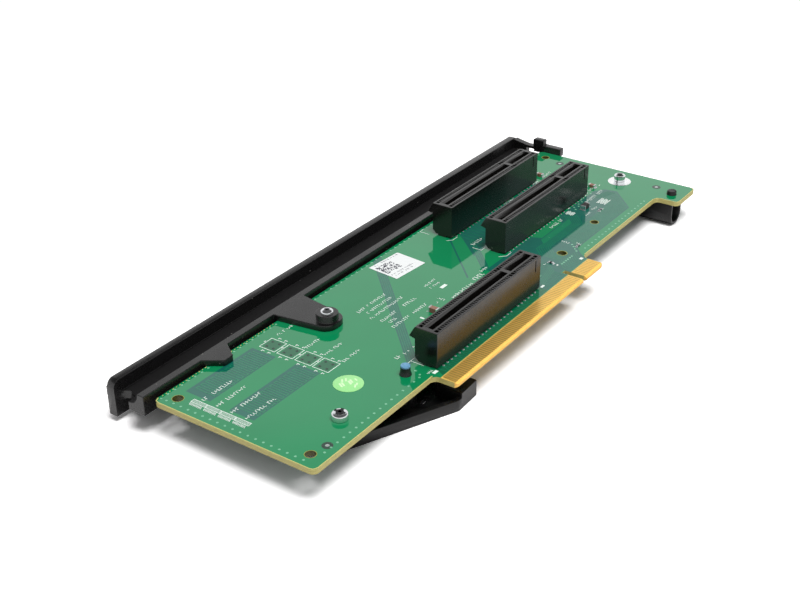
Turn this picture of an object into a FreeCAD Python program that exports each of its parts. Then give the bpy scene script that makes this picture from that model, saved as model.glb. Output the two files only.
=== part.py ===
"""Riser card for expansion cards: a circuit board with a card-edge tongue, three slot
connectors, a moulded handle rail, and a guide bracket and a guide sleeve under the board.

Every piece is built in the board's own frame and moved once, at the end. In that frame X
runs along the front edge, Y runs towards the rail and Z is up from the component side.
"""
import FreeCAD, Part
import math
import os

V = FreeCAD.Vector

# ------------------------------------------------------------------ driving dimensions, mm
FLOOR_DROP = 10.4            # component side above the surface that the card stands on
FIT = 0.1                    # radial clearance of a pin or screw in its hole
SEAM = 0.3                   # gap between neighbouring pieces that do not touch
OVERRUN = 1.0                # how far a cutting shape runs past the face that it opens

# circuit board
BOARD_LENGTH = 205.7
BOARD_WIDTH = 54.3
BOARD_THICK = 1.57
BOARD_CORNER_R = 1.8
TONGUE_START = 51.7
TONGUE_LENGTH = 84.6
TONGUE_DEPTH = 7.6
TONGUE_OUTER_R = 1.2
TONGUE_BEVEL_RUN = 0.8       # along the tongue's depth
TONGUE_BEVEL_DROP = 0.4      # along the board's thickness
KEY_WIDTH = 1.9
KEY_FROM_FAR_END = 12.15     # centre of the key notch from the tongue's far end
TAB_LENGTH = 14.6
TAB_DEPTH = 8.3
STEP_R = 2.0                 # round where the tongue and the tab leave the front edge

# gold contacts on the tongue
FINGER_PITCH = 1.0
FINGER_WIDTH = 0.7
FINGER_THICK = 0.05
FINGER_INSET = 2.5           # bare strip between the front edge's line and the contacts
FINGER_FROM_KEY = 1.5        # centre of the first contact from the centre of the key
FINGER_END_LAND = 0.6        # least board past the centre of the last contact

# tooling holes: distance from one end, distance from one long edge, diameter
HOLES_NEAR_FRONT = [(4.9, 5.1, 3.0), (135.1, 6.5, 3.0), (161.4, 8.6, 2.6)]
HOLES_NEAR_RAIL = [(4.5, 4.7, 3.1)]
HOLES_FAR_RAIL = [(4.4, 4.4, 2.6)]

# slot connectors
SLOT_LENGTH = 56.0
SLOT_WIDTH = 7.4
SLOT_HEIGHT = 11.2
FRONT_SLOT_X = 54.5
FRONT_SLOT_Y = 0.75
REAR_SLOT_X = 123.8
SLOT_PITCH = 20.34
CARD_WIDTH = 1.8             # opening for the card's edge
CARD_DEPTH = 8.25
CARD_END_WALL = 1.5
LEAD_IN_RUN = 0.4
LEAD_IN_DROP = 0.6
KEY_BAR = 1.6
CONTACT_PITCH = 1.0
CONTACT_FROM_KEY = 1.5
CONTACT_END_LAND = 3.0       # least housing past the centre of the last contact
SLOT_KEY_FROM_FAR_END = 14.5 # centre of the key bar from the housing's far end
ROW_SPAN = 1.1               # width of the trough that holds one row of contacts
ROW_DEPTH = 1.2
ROW_END_LAND = 0.6           # trough past the centre of the last contact
RIM = 0.6                    # outer wall beside the troughs
POCKET = 1.1
POCKET_DEPTH = 3.0
POCKET_FROM_END = 1.45
SPRING_WIDTH = 0.45
SPRING_BULGE = 0.4
SPRING_LOW = 1.0             # above the bottom of the card opening
SPRING_HIGH = 5.2
LATCH_SLIT_WIDTH = 0.5
LATCH_SLIT_TOP = 0.5
LATCH_SLIT_LENGTH = 3.8
LATCH_SLIT_DEPTH = 0.4
HOOK_LENGTH = 3.0
HOOK_REACH = 1.95
HOOK_RISE = 3.3
HOOK_STEP = 0.5
HOUSING_LIFT = 0.5           # gap under the housing, which stands on its feet
FOOT_LENGTH = 2.4
FOOT_WIDTH = 3.2
HEEL_RUN = 1.3               # slanted lower edge on the hook's side
HEEL_RISE = 1.2

# handle rail
RAIL_NEAR_OVERHANG = 2.4
LEDGE_GAP = 1.1
LEDGE_THICK = 2.3
LEDGE_TOP = 1.9
WEB_WIDTH = 8.8
WEB_TOP = -1.45
WEB_THICK = 2.55
WALL_THICK = 3.0
WALL_TOP = 2.6
WALL_DROP = 8.5
WALL_CORNER_R = 2.3
WALL_EDGE = 0.5
RIDGE_FILLET = 3.0
SCOOP_DEPTH = 4.0
SCOOP_WIDTH = 5.2
FAR_NOTCH_LENGTH = 6.2
FAR_NOTCH_REACH = 3.2
END_PLATE_THICK = 2.5
LINK_TOP = 1.1
LINK_THICK = 1.0
END_BAR_LENGTH = 11.4
END_BAR_TOP = 2.3
END_BAR_THICK = 3.0
TAB_TOP = 4.2
UPRIGHT_WIDTH = 4.4
SMALL_EAR_X = 25.1
SMALL_EAR_ROOT = 10.6
SMALL_EAR_TIP = 3.4
SMALL_EAR_REACH = 5.4
LARGE_EAR_X = 57.4
LARGE_EAR_ROOT = 14.0
LARGE_EAR_REACH = 14.4       # from the ledge to the centre of the boss
LARGE_EAR_TIP_R = 4.0
EAR_ROOT_R = 1.5
BOSS_DIAMETER = 6.7
BOSS_TOP = 4.0

# fasteners
RAIL_SCREW_HEAD = 3.6
RAIL_SCREW_TALL = 0.9
RAIL_SCREW_SHANK = 2.4
NUT_ACROSS_FLATS = 5.0
NUT_THICK = 2.0
BRACKET_SCREW_X = 21.2
BRACKET_SCREW_Y = 8.5
BRACKET_SCREW_HEAD = 4.5
BRACKET_SCREW_HEAD_TALL = 2.0
BRACKET_SCREW_SHANK = 2.9
BRACKET_SCREW_REACH = 4.0    # past the underside of the board
RECESS_WIDTH = 0.8
RECESS_SPAN = 2.6
RECESS_DEPTH = 0.9
LOCATOR_X = 47.9
LOCATOR_Y = 6.7
LOCATOR_DIAMETER = 2.2
LOCATOR_COLLAR = 3.2
LOCATOR_TALL = 2.4
LOCATOR_CAP = 2.8
LOCATOR_CAP_TALL = 0.6
STANDOFF_FROM_FAR_END = 8.9
STANDOFF_Y = 17.0
STANDOFF_DIAMETER = 4.0
STANDOFF_TALL = 2.5
STANDOFF_BORE = 2.5
STANDOFF_SHANK = 3.4         # pressed into the board, flush with its underside

# guide bracket under the board, beside the tongue
BRACKET_NEAR_X = 16.6
BRACKET_BEND_X = 54.1
BRACKET_FRONT = 6.8          # how far its bend stands out in front of the board
BRACKET_FAR_X = 63.6
BRACKET_FAR_FRONT = 6.4
BRACKET_SLOPE = 0.45         # rise in Y of the slanted wall for each millimetre in X
BRACKET_BACK_Y = 24.0
BRACKET_WALL = 1.6
BRACKET_FLOOR = 1.2
BRACKET_WALL_TALL = 3.5
BRACKET_BLOCK_TALL = 5.0
BRACKET_BLOCK_LENGTH = 8.2
BRACKET_BLOCK_REACH = 9.0    # from the bend's line back under the tongue
BRACKET_BEND_R = 3.0
BRACKET_BOSS = 6.0
BRACKET_SLOT_LENGTH = 3.0
BRACKET_SLOT_WIDTH = 1.0
BRACKET_SLOT_X = 49.9
BRACKET_SLOT_Y = 2.5

# guide sleeve under the far tab
SLEEVE_FROM_FAR_END = 9.9
SLEEVE_WIDTH = 8.4
SLEEVE_FRONT = 6.0
SLEEVE_BACK_Y = 21.0
SLEEVE_WALL = 1.0
SLEEVE_FLAT = 0.2            # flat strip along the bottom, between its two rounds
SLEEVE_PIN = 3.3
SLEEVE_PIN_TALL = 1.4
SLEEVE_PIN_FROM_FAR_END = 9.0
SLEEVE_PIN_Y = -3.3
SLEEVE_HOLLOW = 12.0

# surface-mounted parts: length, width, height
SMALL_CAPACITOR = (1.6, 0.8, 0.8)
LARGE_CAPACITOR = (2.0, 1.25, 1.0)
RESISTOR = (1.6, 0.8, 0.45)
BEAD = (3.2, 1.6, 1.1)
TERMINAL = 0.4               # plated end, along the part

# label
LABEL_LENGTH = 13.7
LABEL_WIDTH = 11.0
LABEL_X = 98.5
LABEL_FROM_RAIL_EDGE = 8.6
LABEL_TURN = -5.0
PAPER_THICK = 0.1

# ------------------------------------------------------------------ derived places
UNDERSIDE = -BOARD_THICK
FLOOR = -FLOOR_DROP
TONGUE_END = TONGUE_START + TONGUE_LENGTH
KEY_X = TONGUE_END - KEY_FROM_FAR_END
TAB_START = BOARD_LENGTH - TAB_LENGTH
SLOT_KEY = SLOT_LENGTH - SLOT_KEY_FROM_FAR_END
SLOT_FAR_X = REAR_SLOT_X + SLOT_LENGTH
SLOT_PLACES = [(REAR_SLOT_X, FRONT_SLOT_Y + 2 * SLOT_PITCH), (REAR_SLOT_X, FRONT_SLOT_Y + SLOT_PITCH),
               (FRONT_SLOT_X, FRONT_SLOT_Y)]
LEDGE_Y = BOARD_WIDTH + LEDGE_GAP
WEB_Y = LEDGE_Y + LEDGE_THICK
WALL_Y = WEB_Y + WEB_WIDTH
RAIL_BACK_Y = WALL_Y + WALL_THICK
WEB_BOTTOM = WEB_TOP - WEB_THICK
RAIL_START = -RAIL_NEAR_OVERHANG
PLATE_X = BOARD_LENGTH + SEAM
RAIL_END = PLATE_X + END_PLATE_THICK
BOSS_Y = LEDGE_Y - LARGE_EAR_REACH
SLEEVE_X = BOARD_LENGTH - SLEEVE_FROM_FAR_END
SLEEVE_PIN_X = BOARD_LENGTH - SLEEVE_PIN_FROM_FAR_END
STANDOFF_X = BOARD_LENGTH - STANDOFF_FROM_FAR_END
LABEL_Y = BOARD_WIDTH - LABEL_FROM_RAIL_EDGE
CAPACITORS = [(80.5, 19.3, 0, SMALL_CAPACITOR), (SLOT_FAR_X + 5.2, BOARD_WIDTH - 11.3, 90, LARGE_CAPACITOR),
              (SLOT_FAR_X + 6.9, 22.7, 90, LARGE_CAPACITOR)]
RESISTORS = [(KEY_X + 2.9, 6.0, 90, RESISTOR), (TONGUE_END + 6.1, 4.7, 0, RESISTOR),
             (170.9, 11.4, 0, RESISTOR)]
BEADS = [(169.5, 16.5, 0, BEAD)]


# ------------------------------------------------------------------ shared helpers
def rounded_wire(corners, place):
    """Closed wire through (a, b, radius) corners, each rounded to its radius.

    place turns a pair (a, b) into a point in space.
    """
    flat = [V(a, b, 0) for a, b, _ in corners]
    turns = []
    for i, (_, _, radius) in enumerate(corners):
        here = flat[i]
        to_last = (flat[i - 1] - here).normalize()
        to_next = (flat[(i + 1) % len(flat)] - here).normalize()
        if radius == 0:
            turns.append((here, None, here))
            continue
        half = to_last.getAngle(to_next) / 2
        inward = (to_last + to_next).normalize()
        reach = radius / math.tan(half)
        middle = here + inward * (radius / math.sin(half) - radius)
        turns.append((here + to_last * reach, middle, here + to_next * reach))
    edges = []
    for i, (start, middle, end) in enumerate(turns):
        if middle is not None:
            edges.append(Part.Arc(*(place(p.x, p.y) for p in (start, middle, end))).toShape())
        following = turns[(i + 1) % len(turns)][0]
        if (following - end).Length > 1e-6:
            edges.append(Part.makeLine(place(end.x, end.y), place(following.x, following.y)))
    return Part.Wire(edges)


def plate(corners, low, high):
    """Plan outline of (x, y, radius) corners, raised from low to high."""
    wire = rounded_wire(corners, lambda x, y: V(x, y, low))
    return Part.Face(wire).extrude(V(0, 0, high - low))


def along_x(corners, start, end):
    """Section of (y, z, radius) corners, drawn out from x = start to x = end."""
    wire = rounded_wire(corners, lambda y, z: V(start, y, z))
    return Part.Face(wire).extrude(V(end - start, 0, 0))


def along_y(corners, start, end):
    """Section of (x, z, radius) corners, drawn out from y = start to y = end."""
    wire = rounded_wire(corners, lambda x, z: V(x, start, z))
    return Part.Face(wire).extrude(V(0, end - start, 0))


def box(x0, x1, y0, y1, z0, z1):
    """Box between two opposite corners."""
    return Part.makeBox(x1 - x0, y1 - y0, z1 - z0, V(x0, y0, z0))


def rod(x, y, diameter, low, high):
    """Upright cylinder."""
    return Part.makeCylinder(diameter / 2, high - low, V(x, y, low))


def turned(x, y, profile):
    """Solid of revolution about the upright axis at (x, y), from (radius, z) points."""
    points = [V(x + radius, y, z) for radius, z in profile]
    face = Part.Face(Part.makePolygon(points + points[:1]))
    return face.revolve(V(x, y, 0), V(0, 0, 1), 360)


def group(solids):
    """Separate solids that share one node."""
    return Part.makeCompound(solids)


def row_either_side(key, first, last, from_key, pitch):
    """Places on both sides of a key, from its first gap out to the two ends of the row."""
    near_count = int((key - from_key - first) / pitch + 0.001) + 1
    far_count = int((last - key - from_key) / pitch + 0.001) + 1
    near = [key - from_key - i * pitch for i in range(near_count)]
    far = [key + from_key + i * pitch for i in range(far_count)]
    return near, far


# ------------------------------------------------------------------ circuit board
def circuit_board():
    """Board with its tongue, key notch, far tab and every hole."""
    half_key = KEY_WIDTH / 2
    outline = [
        (0, 0, BOARD_CORNER_R),
        (TONGUE_START, 0, STEP_R),
        (TONGUE_START, -TONGUE_DEPTH, TONGUE_OUTER_R),
        (KEY_X - half_key, -TONGUE_DEPTH, 0),
        (KEY_X - half_key, 0, 0),
        (KEY_X + half_key, 0, 0),
        (KEY_X + half_key, -TONGUE_DEPTH, 0),
        (TONGUE_END, -TONGUE_DEPTH, TONGUE_OUTER_R),
        (TONGUE_END, 0, STEP_R),
        (TAB_START, 0, STEP_R),
        (TAB_START, -TAB_DEPTH, BOARD_CORNER_R),
        (BOARD_LENGTH, -TAB_DEPTH, BOARD_CORNER_R),
        (BOARD_LENGTH, BOARD_WIDTH, BOARD_CORNER_R),
        (0, BOARD_WIDTH, BOARD_CORNER_R),
    ]
    board = plate(outline, UNDERSIDE, 0)
    tip = -TONGUE_DEPTH
    for face, away in ((0, 1), (UNDERSIDE, -1)):
        wedge = [(tip, face - away * TONGUE_BEVEL_DROP, 0), (tip + TONGUE_BEVEL_RUN, face, 0),
                 (tip + TONGUE_BEVEL_RUN, face + away * OVERRUN, 0),
                 (tip - OVERRUN, face + away * OVERRUN, 0),
                 (tip - OVERRUN, face - away * TONGUE_BEVEL_DROP, 0)]
        board = board.cut(along_x(wedge, TONGUE_START - OVERRUN, TONGUE_END + OVERRUN))
    holes = list(HOLES_NEAR_FRONT)
    holes += [(x, BOARD_WIDTH - y, diameter) for x, y, diameter in HOLES_NEAR_RAIL]
    holes += [(BOARD_LENGTH - x, BOARD_WIDTH - y, diameter) for x, y, diameter in HOLES_FAR_RAIL]
    holes += [
        (BRACKET_SCREW_X, BRACKET_SCREW_Y, BRACKET_SCREW_SHANK + 2 * FIT),
        (LOCATOR_X, LOCATOR_Y, LOCATOR_DIAMETER + 2 * FIT),
        (LARGE_EAR_X, BOSS_Y, RAIL_SCREW_SHANK + 2 * FIT),
        (STANDOFF_X, STANDOFF_Y, STANDOFF_SHANK + 2 * FIT),
        (SLEEVE_PIN_X, SLEEVE_PIN_Y, SLEEVE_PIN + 2 * FIT),
    ]
    cutters = [rod(x, y, diameter, UNDERSIDE - OVERRUN, OVERRUN) for x, y, diameter in holes]
    return board.cut(group(cutters))


def edge_contacts(low):
    """One row of gold contacts on the tongue, from low up by their thickness."""
    near, far = row_either_side(KEY_X, TONGUE_START + FINGER_END_LAND, TONGUE_END - FINGER_END_LAND,
                                FINGER_FROM_KEY, FINGER_PITCH)
    half = FINGER_WIDTH / 2
    outer = TONGUE_BEVEL_RUN - TONGUE_DEPTH
    return group([box(x - half, x + half, outer, -FINGER_INSET, low, low + FINGER_THICK)
                  for x in near + far])


# ------------------------------------------------------------------ slot connectors
def contact_centres():
    """Places of the contacts along a housing, as its near row and its far row."""
    return row_either_side(SLOT_KEY, CONTACT_END_LAND, SLOT_LENGTH - CONTACT_END_LAND,
                           CONTACT_FROM_KEY, CONTACT_PITCH)


def housing_body():
    """Plain housing on its feet, with a slanted heel and a hook at its near end."""
    middle = SLOT_WIDTH / 2
    section = [(0, HOUSING_LIFT, 0), (SLOT_WIDTH - HEEL_RUN, HOUSING_LIFT, 0),
               (SLOT_WIDTH, HOUSING_LIFT + HEEL_RISE, 0), (SLOT_WIDTH, SLOT_HEIGHT, 0), (0, SLOT_HEIGHT, 0)]
    body = along_x(section, 0, SLOT_LENGTH)
    hook_foot = SLOT_HEIGHT - HOOK_RISE - HOOK_STEP
    hook = [(SLOT_WIDTH - SEAM, SLOT_HEIGHT, 0), (SLOT_WIDTH, SLOT_HEIGHT, 0),
            (SLOT_WIDTH + HOOK_REACH, SLOT_HEIGHT - HOOK_RISE, 0), (SLOT_WIDTH, hook_foot, 0),
            (SLOT_WIDTH - SEAM, hook_foot, 0)]
    feet = [box(x, x + FOOT_LENGTH, middle - FOOT_WIDTH / 2, middle + FOOT_WIDTH / 2, 0, HOUSING_LIFT + SEAM)
            for x in (0, SLOT_KEY - FOOT_LENGTH / 2, SLOT_LENGTH - FOOT_LENGTH)]
    return body.fuse([along_x(hook, 0, HOOK_LENGTH)] + feet)


def card_opening(start, end):
    """Cutter for the card's edge, with a lead-in along both sides."""
    middle = SLOT_WIDTH / 2
    narrow = CARD_WIDTH / 2
    wide = narrow + LEAD_IN_RUN
    low = SLOT_HEIGHT - CARD_DEPTH
    throat = SLOT_HEIGHT - LEAD_IN_DROP
    top = SLOT_HEIGHT + OVERRUN
    section = [(middle - narrow, low, 0), (middle + narrow, low, 0), (middle + narrow, throat, 0),
               (middle + wide, SLOT_HEIGHT, 0), (middle + wide, top, 0), (middle - wide, top, 0),
               (middle - wide, SLOT_HEIGHT, 0), (middle - narrow, throat, 0)]
    return along_x(section, start, end)


def slot_housing():
    """Moulded housing: keyed card opening, a trough for each row of contacts, pockets, slit."""
    cutters = [card_opening(CARD_END_WALL, SLOT_KEY - KEY_BAR / 2),
               card_opening(SLOT_KEY + KEY_BAR / 2, SLOT_LENGTH - CARD_END_WALL)]
    top = SLOT_HEIGHT + OVERRUN
    for side in (RIM, SLOT_WIDTH - RIM - ROW_SPAN):
        for row in contact_centres():
            cutters.append(box(min(row) - ROW_END_LAND, max(row) + ROW_END_LAND, side, side + ROW_SPAN,
                               SLOT_HEIGHT - ROW_DEPTH, top))
        for x in (POCKET_FROM_END, SLOT_KEY, SLOT_LENGTH - POCKET_FROM_END):
            cutters.append(box(x - POCKET / 2, x + POCKET / 2, side, side + ROW_SPAN,
                               SLOT_HEIGHT - POCKET_DEPTH, top))
    slit_x = SLOT_LENGTH - CONTACT_END_LAND
    slit_top = SLOT_HEIGHT - LATCH_SLIT_TOP
    cutters.append(box(slit_x - LATCH_SLIT_WIDTH / 2, slit_x + LATCH_SLIT_WIDTH / 2, -OVERRUN,
                       LATCH_SLIT_DEPTH, slit_top - LATCH_SLIT_LENGTH, slit_top))
    return housing_body().cut(group(cutters)).removeSplitter()


def slot_springs():
    """The bulges of the contact springs, on both walls of a housing's card opening."""
    low = SLOT_HEIGHT - CARD_DEPTH + SPRING_LOW
    high = SLOT_HEIGHT - CARD_DEPTH + SPRING_HIGH
    crown = low + (high - low) * 2 / 3
    near, far = contact_centres()
    springs = []
    for side in (-1, 1):
        wall = SLOT_WIDTH / 2 + side * CARD_WIDTH / 2
        bulge = [(wall, low, 0), (wall, high, 0), (wall - side * SPRING_BULGE, crown, 0)]
        springs += [along_x(bulge, x - SPRING_WIDTH / 2, x + SPRING_WIDTH / 2) for x in near + far]
    return group(springs)


# ------------------------------------------------------------------ handle rail
def rail_wall():
    """Tall outer wall: side outline with round top corners and an eased outer top edge."""
    outline = [(RAIL_START, -WALL_DROP, 0), (RAIL_END, -WALL_DROP, 0),
               (RAIL_END, WALL_TOP, WALL_CORNER_R), (RAIL_START, WALL_TOP, WALL_CORNER_R)]
    wall = along_y(outline, WALL_Y, RAIL_BACK_Y)
    eased = [edge for edge in wall.Edges
             if edge.BoundBox.YMin > RAIL_BACK_Y - 0.01
             and edge.BoundBox.ZMax > WALL_TOP - WALL_CORNER_R / 2]
    return wall.makeChamfer(WALL_EDGE, eased)


def rail_channel():
    """Ledge beside the board and web to the wall, with a round root between them."""
    section = [(LEDGE_Y, WEB_BOTTOM, 0), (WALL_Y + SEAM, WEB_BOTTOM, 0), (WALL_Y + SEAM, WEB_TOP, 0),
               (WEB_Y, WEB_TOP, RIDGE_FILLET), (WEB_Y, LEDGE_TOP, 0), (LEDGE_Y, LEDGE_TOP, 0)]
    channel = along_x(section, RAIL_START, PLATE_X + SEAM)
    low = WEB_BOTTOM - OVERRUN
    high = LEDGE_TOP + OVERRUN
    scoop_y = WALL_Y - SCOOP_WIDTH / 2
    scoop_x = RAIL_START + SCOOP_DEPTH - SCOOP_WIDTH / 2
    scoop = rod(scoop_x, scoop_y, SCOOP_WIDTH, low, high)
    scoop = scoop.fuse(box(RAIL_START - OVERRUN, scoop_x, WALL_Y - SCOOP_WIDTH, WALL_Y, low, high))
    notch = box(PLATE_X - FAR_NOTCH_LENGTH, PLATE_X + OVERRUN, LEDGE_Y - OVERRUN,
                WEB_Y + FAR_NOTCH_REACH, low, high)
    return channel.cut(scoop).cut(notch)


def rail_ears():
    """Two flat ears that lie on the board, the large one with a boss for its screw."""
    small_half = SMALL_EAR_ROOT / 2
    tip_half = SMALL_EAR_TIP / 2
    inside = LEDGE_Y + LEDGE_THICK / 2
    small = [(SMALL_EAR_X - small_half, inside, 0), (SMALL_EAR_X - small_half, LEDGE_Y, 0),
             (SMALL_EAR_X - tip_half, LEDGE_Y - SMALL_EAR_REACH, tip_half / 2),
             (SMALL_EAR_X + tip_half, LEDGE_Y - SMALL_EAR_REACH, tip_half / 2),
             (SMALL_EAR_X + small_half, LEDGE_Y, 0), (SMALL_EAR_X + small_half, inside, 0)]
    root_half = LARGE_EAR_ROOT / 2
    round_half = LARGE_EAR_TIP_R * 1.05
    tip_y = BOSS_Y - LARGE_EAR_TIP_R
    large = [(LARGE_EAR_X - root_half, inside, 0), (LARGE_EAR_X - root_half, LEDGE_Y, EAR_ROOT_R),
             (LARGE_EAR_X - round_half, tip_y, LARGE_EAR_TIP_R),
             (LARGE_EAR_X + round_half, tip_y, LARGE_EAR_TIP_R),
             (LARGE_EAR_X + root_half, LEDGE_Y, EAR_ROOT_R), (LARGE_EAR_X + root_half, inside, 0)]
    ears = plate(small, 0, LEDGE_TOP).fuse(plate(large, 0, LEDGE_TOP))
    ears = ears.fuse(rod(LARGE_EAR_X, BOSS_Y, BOSS_DIAMETER, 0, BOSS_TOP))
    return ears.cut(rod(LARGE_EAR_X, BOSS_Y, RAIL_SCREW_SHANK + 2 * FIT, -OVERRUN, BOSS_TOP + OVERRUN))


def rail_end_plate():
    """Plate across the far end: foot under the wall, thin link, bar and upright tab."""
    tab_y = WEB_Y + SEAM
    gap_y = WEB_Y + FAR_NOTCH_REACH
    bar_y = LEDGE_Y + LEDGE_THICK - END_BAR_LENGTH
    section = [(RAIL_BACK_Y, FLOOR, 0), (RAIL_BACK_Y, WALL_TOP - WALL_CORNER_R, 0),
               (WALL_Y, WALL_TOP - WALL_EDGE, 0), (gap_y, LINK_TOP, 0), (tab_y, LINK_TOP, 0),
               (tab_y, TAB_TOP, 0.5), (tab_y - UPRIGHT_WIDTH, TAB_TOP, 0.5),
               (tab_y - UPRIGHT_WIDTH, END_BAR_TOP, 0), (bar_y, END_BAR_TOP, 0.3),
               (bar_y, END_BAR_TOP - END_BAR_THICK, 0), (WEB_Y, END_BAR_TOP - END_BAR_THICK, 0),
               (WEB_Y, LINK_TOP - LINK_THICK, 0), (gap_y, LINK_TOP - LINK_THICK, 0),
               (gap_y, FLOOR, 0)]
    return along_x(section, PLATE_X, RAIL_END)


def handle_rail():
    """The whole rail as one moulding."""
    return rail_wall().fuse([rail_channel(), rail_ears(), rail_end_plate()]).removeSplitter()


# ------------------------------------------------------------------ fasteners
def cross_recess(x, y, top):
    """Cross-shaped cutter for a screw head."""
    half, span = RECESS_WIDTH / 2, RECESS_SPAN / 2
    low, high = top - RECESS_DEPTH, top + OVERRUN
    return box(x - half, x + half, y - span, y + span, low, high).fuse(
        box(x - span, x + span, y - half, y + half, low, high))


def rail_screw():
    """Screw in the boss of the large ear, down to its nut."""
    head = RAIL_SCREW_HEAD / 2
    shank = RAIL_SCREW_SHANK / 2
    low = UNDERSIDE - NUT_THICK
    return turned(LARGE_EAR_X, BOSS_Y, [
        (0, low), (shank, low), (shank, BOSS_TOP), (head, BOSS_TOP), (head, BOSS_TOP + RAIL_SCREW_TALL),
        (0, BOSS_TOP + RAIL_SCREW_TALL)])


def rail_nut():
    """Six-sided nut under the board, on the rail's screw."""
    reach = NUT_ACROSS_FLATS / math.sqrt(3)
    corners = [(LARGE_EAR_X + reach * math.cos(math.radians(60 * i)),
                BOSS_Y + reach * math.sin(math.radians(60 * i)), 0) for i in range(6)]
    nut = plate(corners, UNDERSIDE - NUT_THICK, UNDERSIDE)
    return nut.cut(rod(LARGE_EAR_X, BOSS_Y, RAIL_SCREW_SHANK + 2 * FIT,
                       UNDERSIDE - NUT_THICK - OVERRUN, UNDERSIDE + OVERRUN))


def bracket_screw():
    """Pan-head screw that holds the guide bracket to the board."""
    head = BRACKET_SCREW_HEAD / 2
    shank = BRACKET_SCREW_SHANK / 2
    low = UNDERSIDE - BRACKET_SCREW_REACH
    tall = BRACKET_SCREW_HEAD_TALL
    screw = turned(BRACKET_SCREW_X, BRACKET_SCREW_Y, [
        (0, low), (shank, low), (shank, 0), (head, 0), (head, tall), (0, tall)])
    return screw.cut(cross_recess(BRACKET_SCREW_X, BRACKET_SCREW_Y, tall))


def locating_peg():
    """Peg with a collar, through the board and down on the guide bracket's boss."""
    radius = LOCATOR_DIAMETER / 2
    collar = LOCATOR_COLLAR / 2
    return turned(LOCATOR_X, LOCATOR_Y, [
        (0, UNDERSIDE), (radius, UNDERSIDE), (radius, 0), (collar, 0), (collar, LOCATOR_TALL),
        (0, LOCATOR_TALL)])


def locating_peg_cap():
    """Coloured cap on the locating peg."""
    return rod(LOCATOR_X, LOCATOR_Y, LOCATOR_CAP, LOCATOR_TALL, LOCATOR_TALL + LOCATOR_CAP_TALL)


def standoff():
    """Threaded standoff, its shank through the board and flush with the underside."""
    radius = STANDOFF_DIAMETER / 2
    bore = STANDOFF_BORE / 2
    shank = STANDOFF_SHANK / 2
    return turned(STANDOFF_X, STANDOFF_Y, [
        (bore, UNDERSIDE), (shank, UNDERSIDE), (shank, 0), (radius, 0), (radius, STANDOFF_TALL),
        (bore, STANDOFF_TALL)])


# ------------------------------------------------------------------ guides under the board
def bracket_outline(inset):
    """Plan outline of the guide bracket, moved inwards by inset."""
    near_front = -BRACKET_FRONT + BRACKET_SLOPE * (BRACKET_BEND_X - BRACKET_NEAR_X)
    secant = math.sqrt(1 + BRACKET_SLOPE ** 2)
    bend_shift = inset * (secant - 1) / BRACKET_SLOPE
    return [(BRACKET_NEAR_X + inset, near_front + inset * (secant - BRACKET_SLOPE), 0),
            (BRACKET_BEND_X + bend_shift, -BRACKET_FRONT + inset, BRACKET_BEND_R),
            (BRACKET_FAR_X - inset, -BRACKET_FAR_FRONT + inset, 0),
            (BRACKET_FAR_X - inset, BRACKET_BACK_Y - inset, 0),
            (BRACKET_NEAR_X + inset, BRACKET_BACK_Y - inset, 0)]


def guide_bracket():
    """Open tray with a slanted front wall, a taller block at its far end and two bosses."""
    wall_top = FLOOR + BRACKET_WALL_TALL
    block_top = FLOOR + BRACKET_BLOCK_TALL
    block_x = BRACKET_FAR_X - BRACKET_BLOCK_LENGTH
    tray = plate(bracket_outline(0), FLOOR, wall_top)
    tray = tray.cut(plate(bracket_outline(BRACKET_WALL), FLOOR + BRACKET_FLOOR, wall_top + OVERRUN))
    block = plate(bracket_outline(0), FLOOR, block_top).common(
        box(block_x, BRACKET_FAR_X, -BRACKET_FRONT, BRACKET_BLOCK_REACH - BRACKET_FRONT, FLOOR, block_top))
    bosses = [rod(LOCATOR_X, LOCATOR_Y, BRACKET_BOSS, FLOOR, UNDERSIDE),
              rod(BRACKET_SCREW_X, BRACKET_SCREW_Y, BRACKET_BOSS, wall_top - BRACKET_WALL, UNDERSIDE)]
    bracket = tray.fuse([block] + bosses).removeSplitter()
    cutters = [rod(BRACKET_SCREW_X, BRACKET_SCREW_Y, BRACKET_SCREW_SHANK + 2 * FIT,
                   UNDERSIDE - BRACKET_SCREW_REACH - SEAM, UNDERSIDE + OVERRUN),
               box(BRACKET_SLOT_X, BRACKET_SLOT_X + BRACKET_SLOT_LENGTH, BRACKET_SLOT_Y,
                   BRACKET_SLOT_Y + BRACKET_SLOT_WIDTH, FLOOR - OVERRUN, FLOOR + BRACKET_FLOOR + OVERRUN)]
    return bracket.cut(group(cutters))


def guide_sleeve():
    """Round-bottomed sleeve with an open front end and a pin up through the tab."""
    def section(inset):
        """Square-shouldered, round-bottomed section, moved inwards by inset."""
        half = SLEEVE_WIDTH / 2 - inset
        top, bottom = UNDERSIDE - inset, FLOOR + inset
        turn = half - SLEEVE_FLAT / 2
        return [(SLEEVE_X - half, top, 0), (SLEEVE_X - half, bottom, turn),
                (SLEEVE_X + half, bottom, turn), (SLEEVE_X + half, top, 0)]

    roof = UNDERSIDE - SLEEVE_WALL
    sleeve = along_y(section(0), -SLEEVE_FRONT, SLEEVE_BACK_Y)
    sleeve = sleeve.cut(along_y(section(SLEEVE_WALL), -SLEEVE_FRONT - OVERRUN, SLEEVE_HOLLOW - SLEEVE_FRONT))
    return sleeve.fuse(rod(SLEEVE_PIN_X, SLEEVE_PIN_Y, SLEEVE_PIN, roof, SLEEVE_PIN_TALL))


# ------------------------------------------------------------------ surface-mounted parts
def chip_block(part, start, end):
    """Block of a surface-mounted part between two places along its length."""
    x, y, turn, (length, width, height) = part
    block = box(start - length / 2, end - length / 2, -width / 2, width / 2, 0, height)
    block.rotate(V(0, 0, 0), V(0, 0, 1), turn)
    block.translate(V(x, y, 0))
    return block


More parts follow.
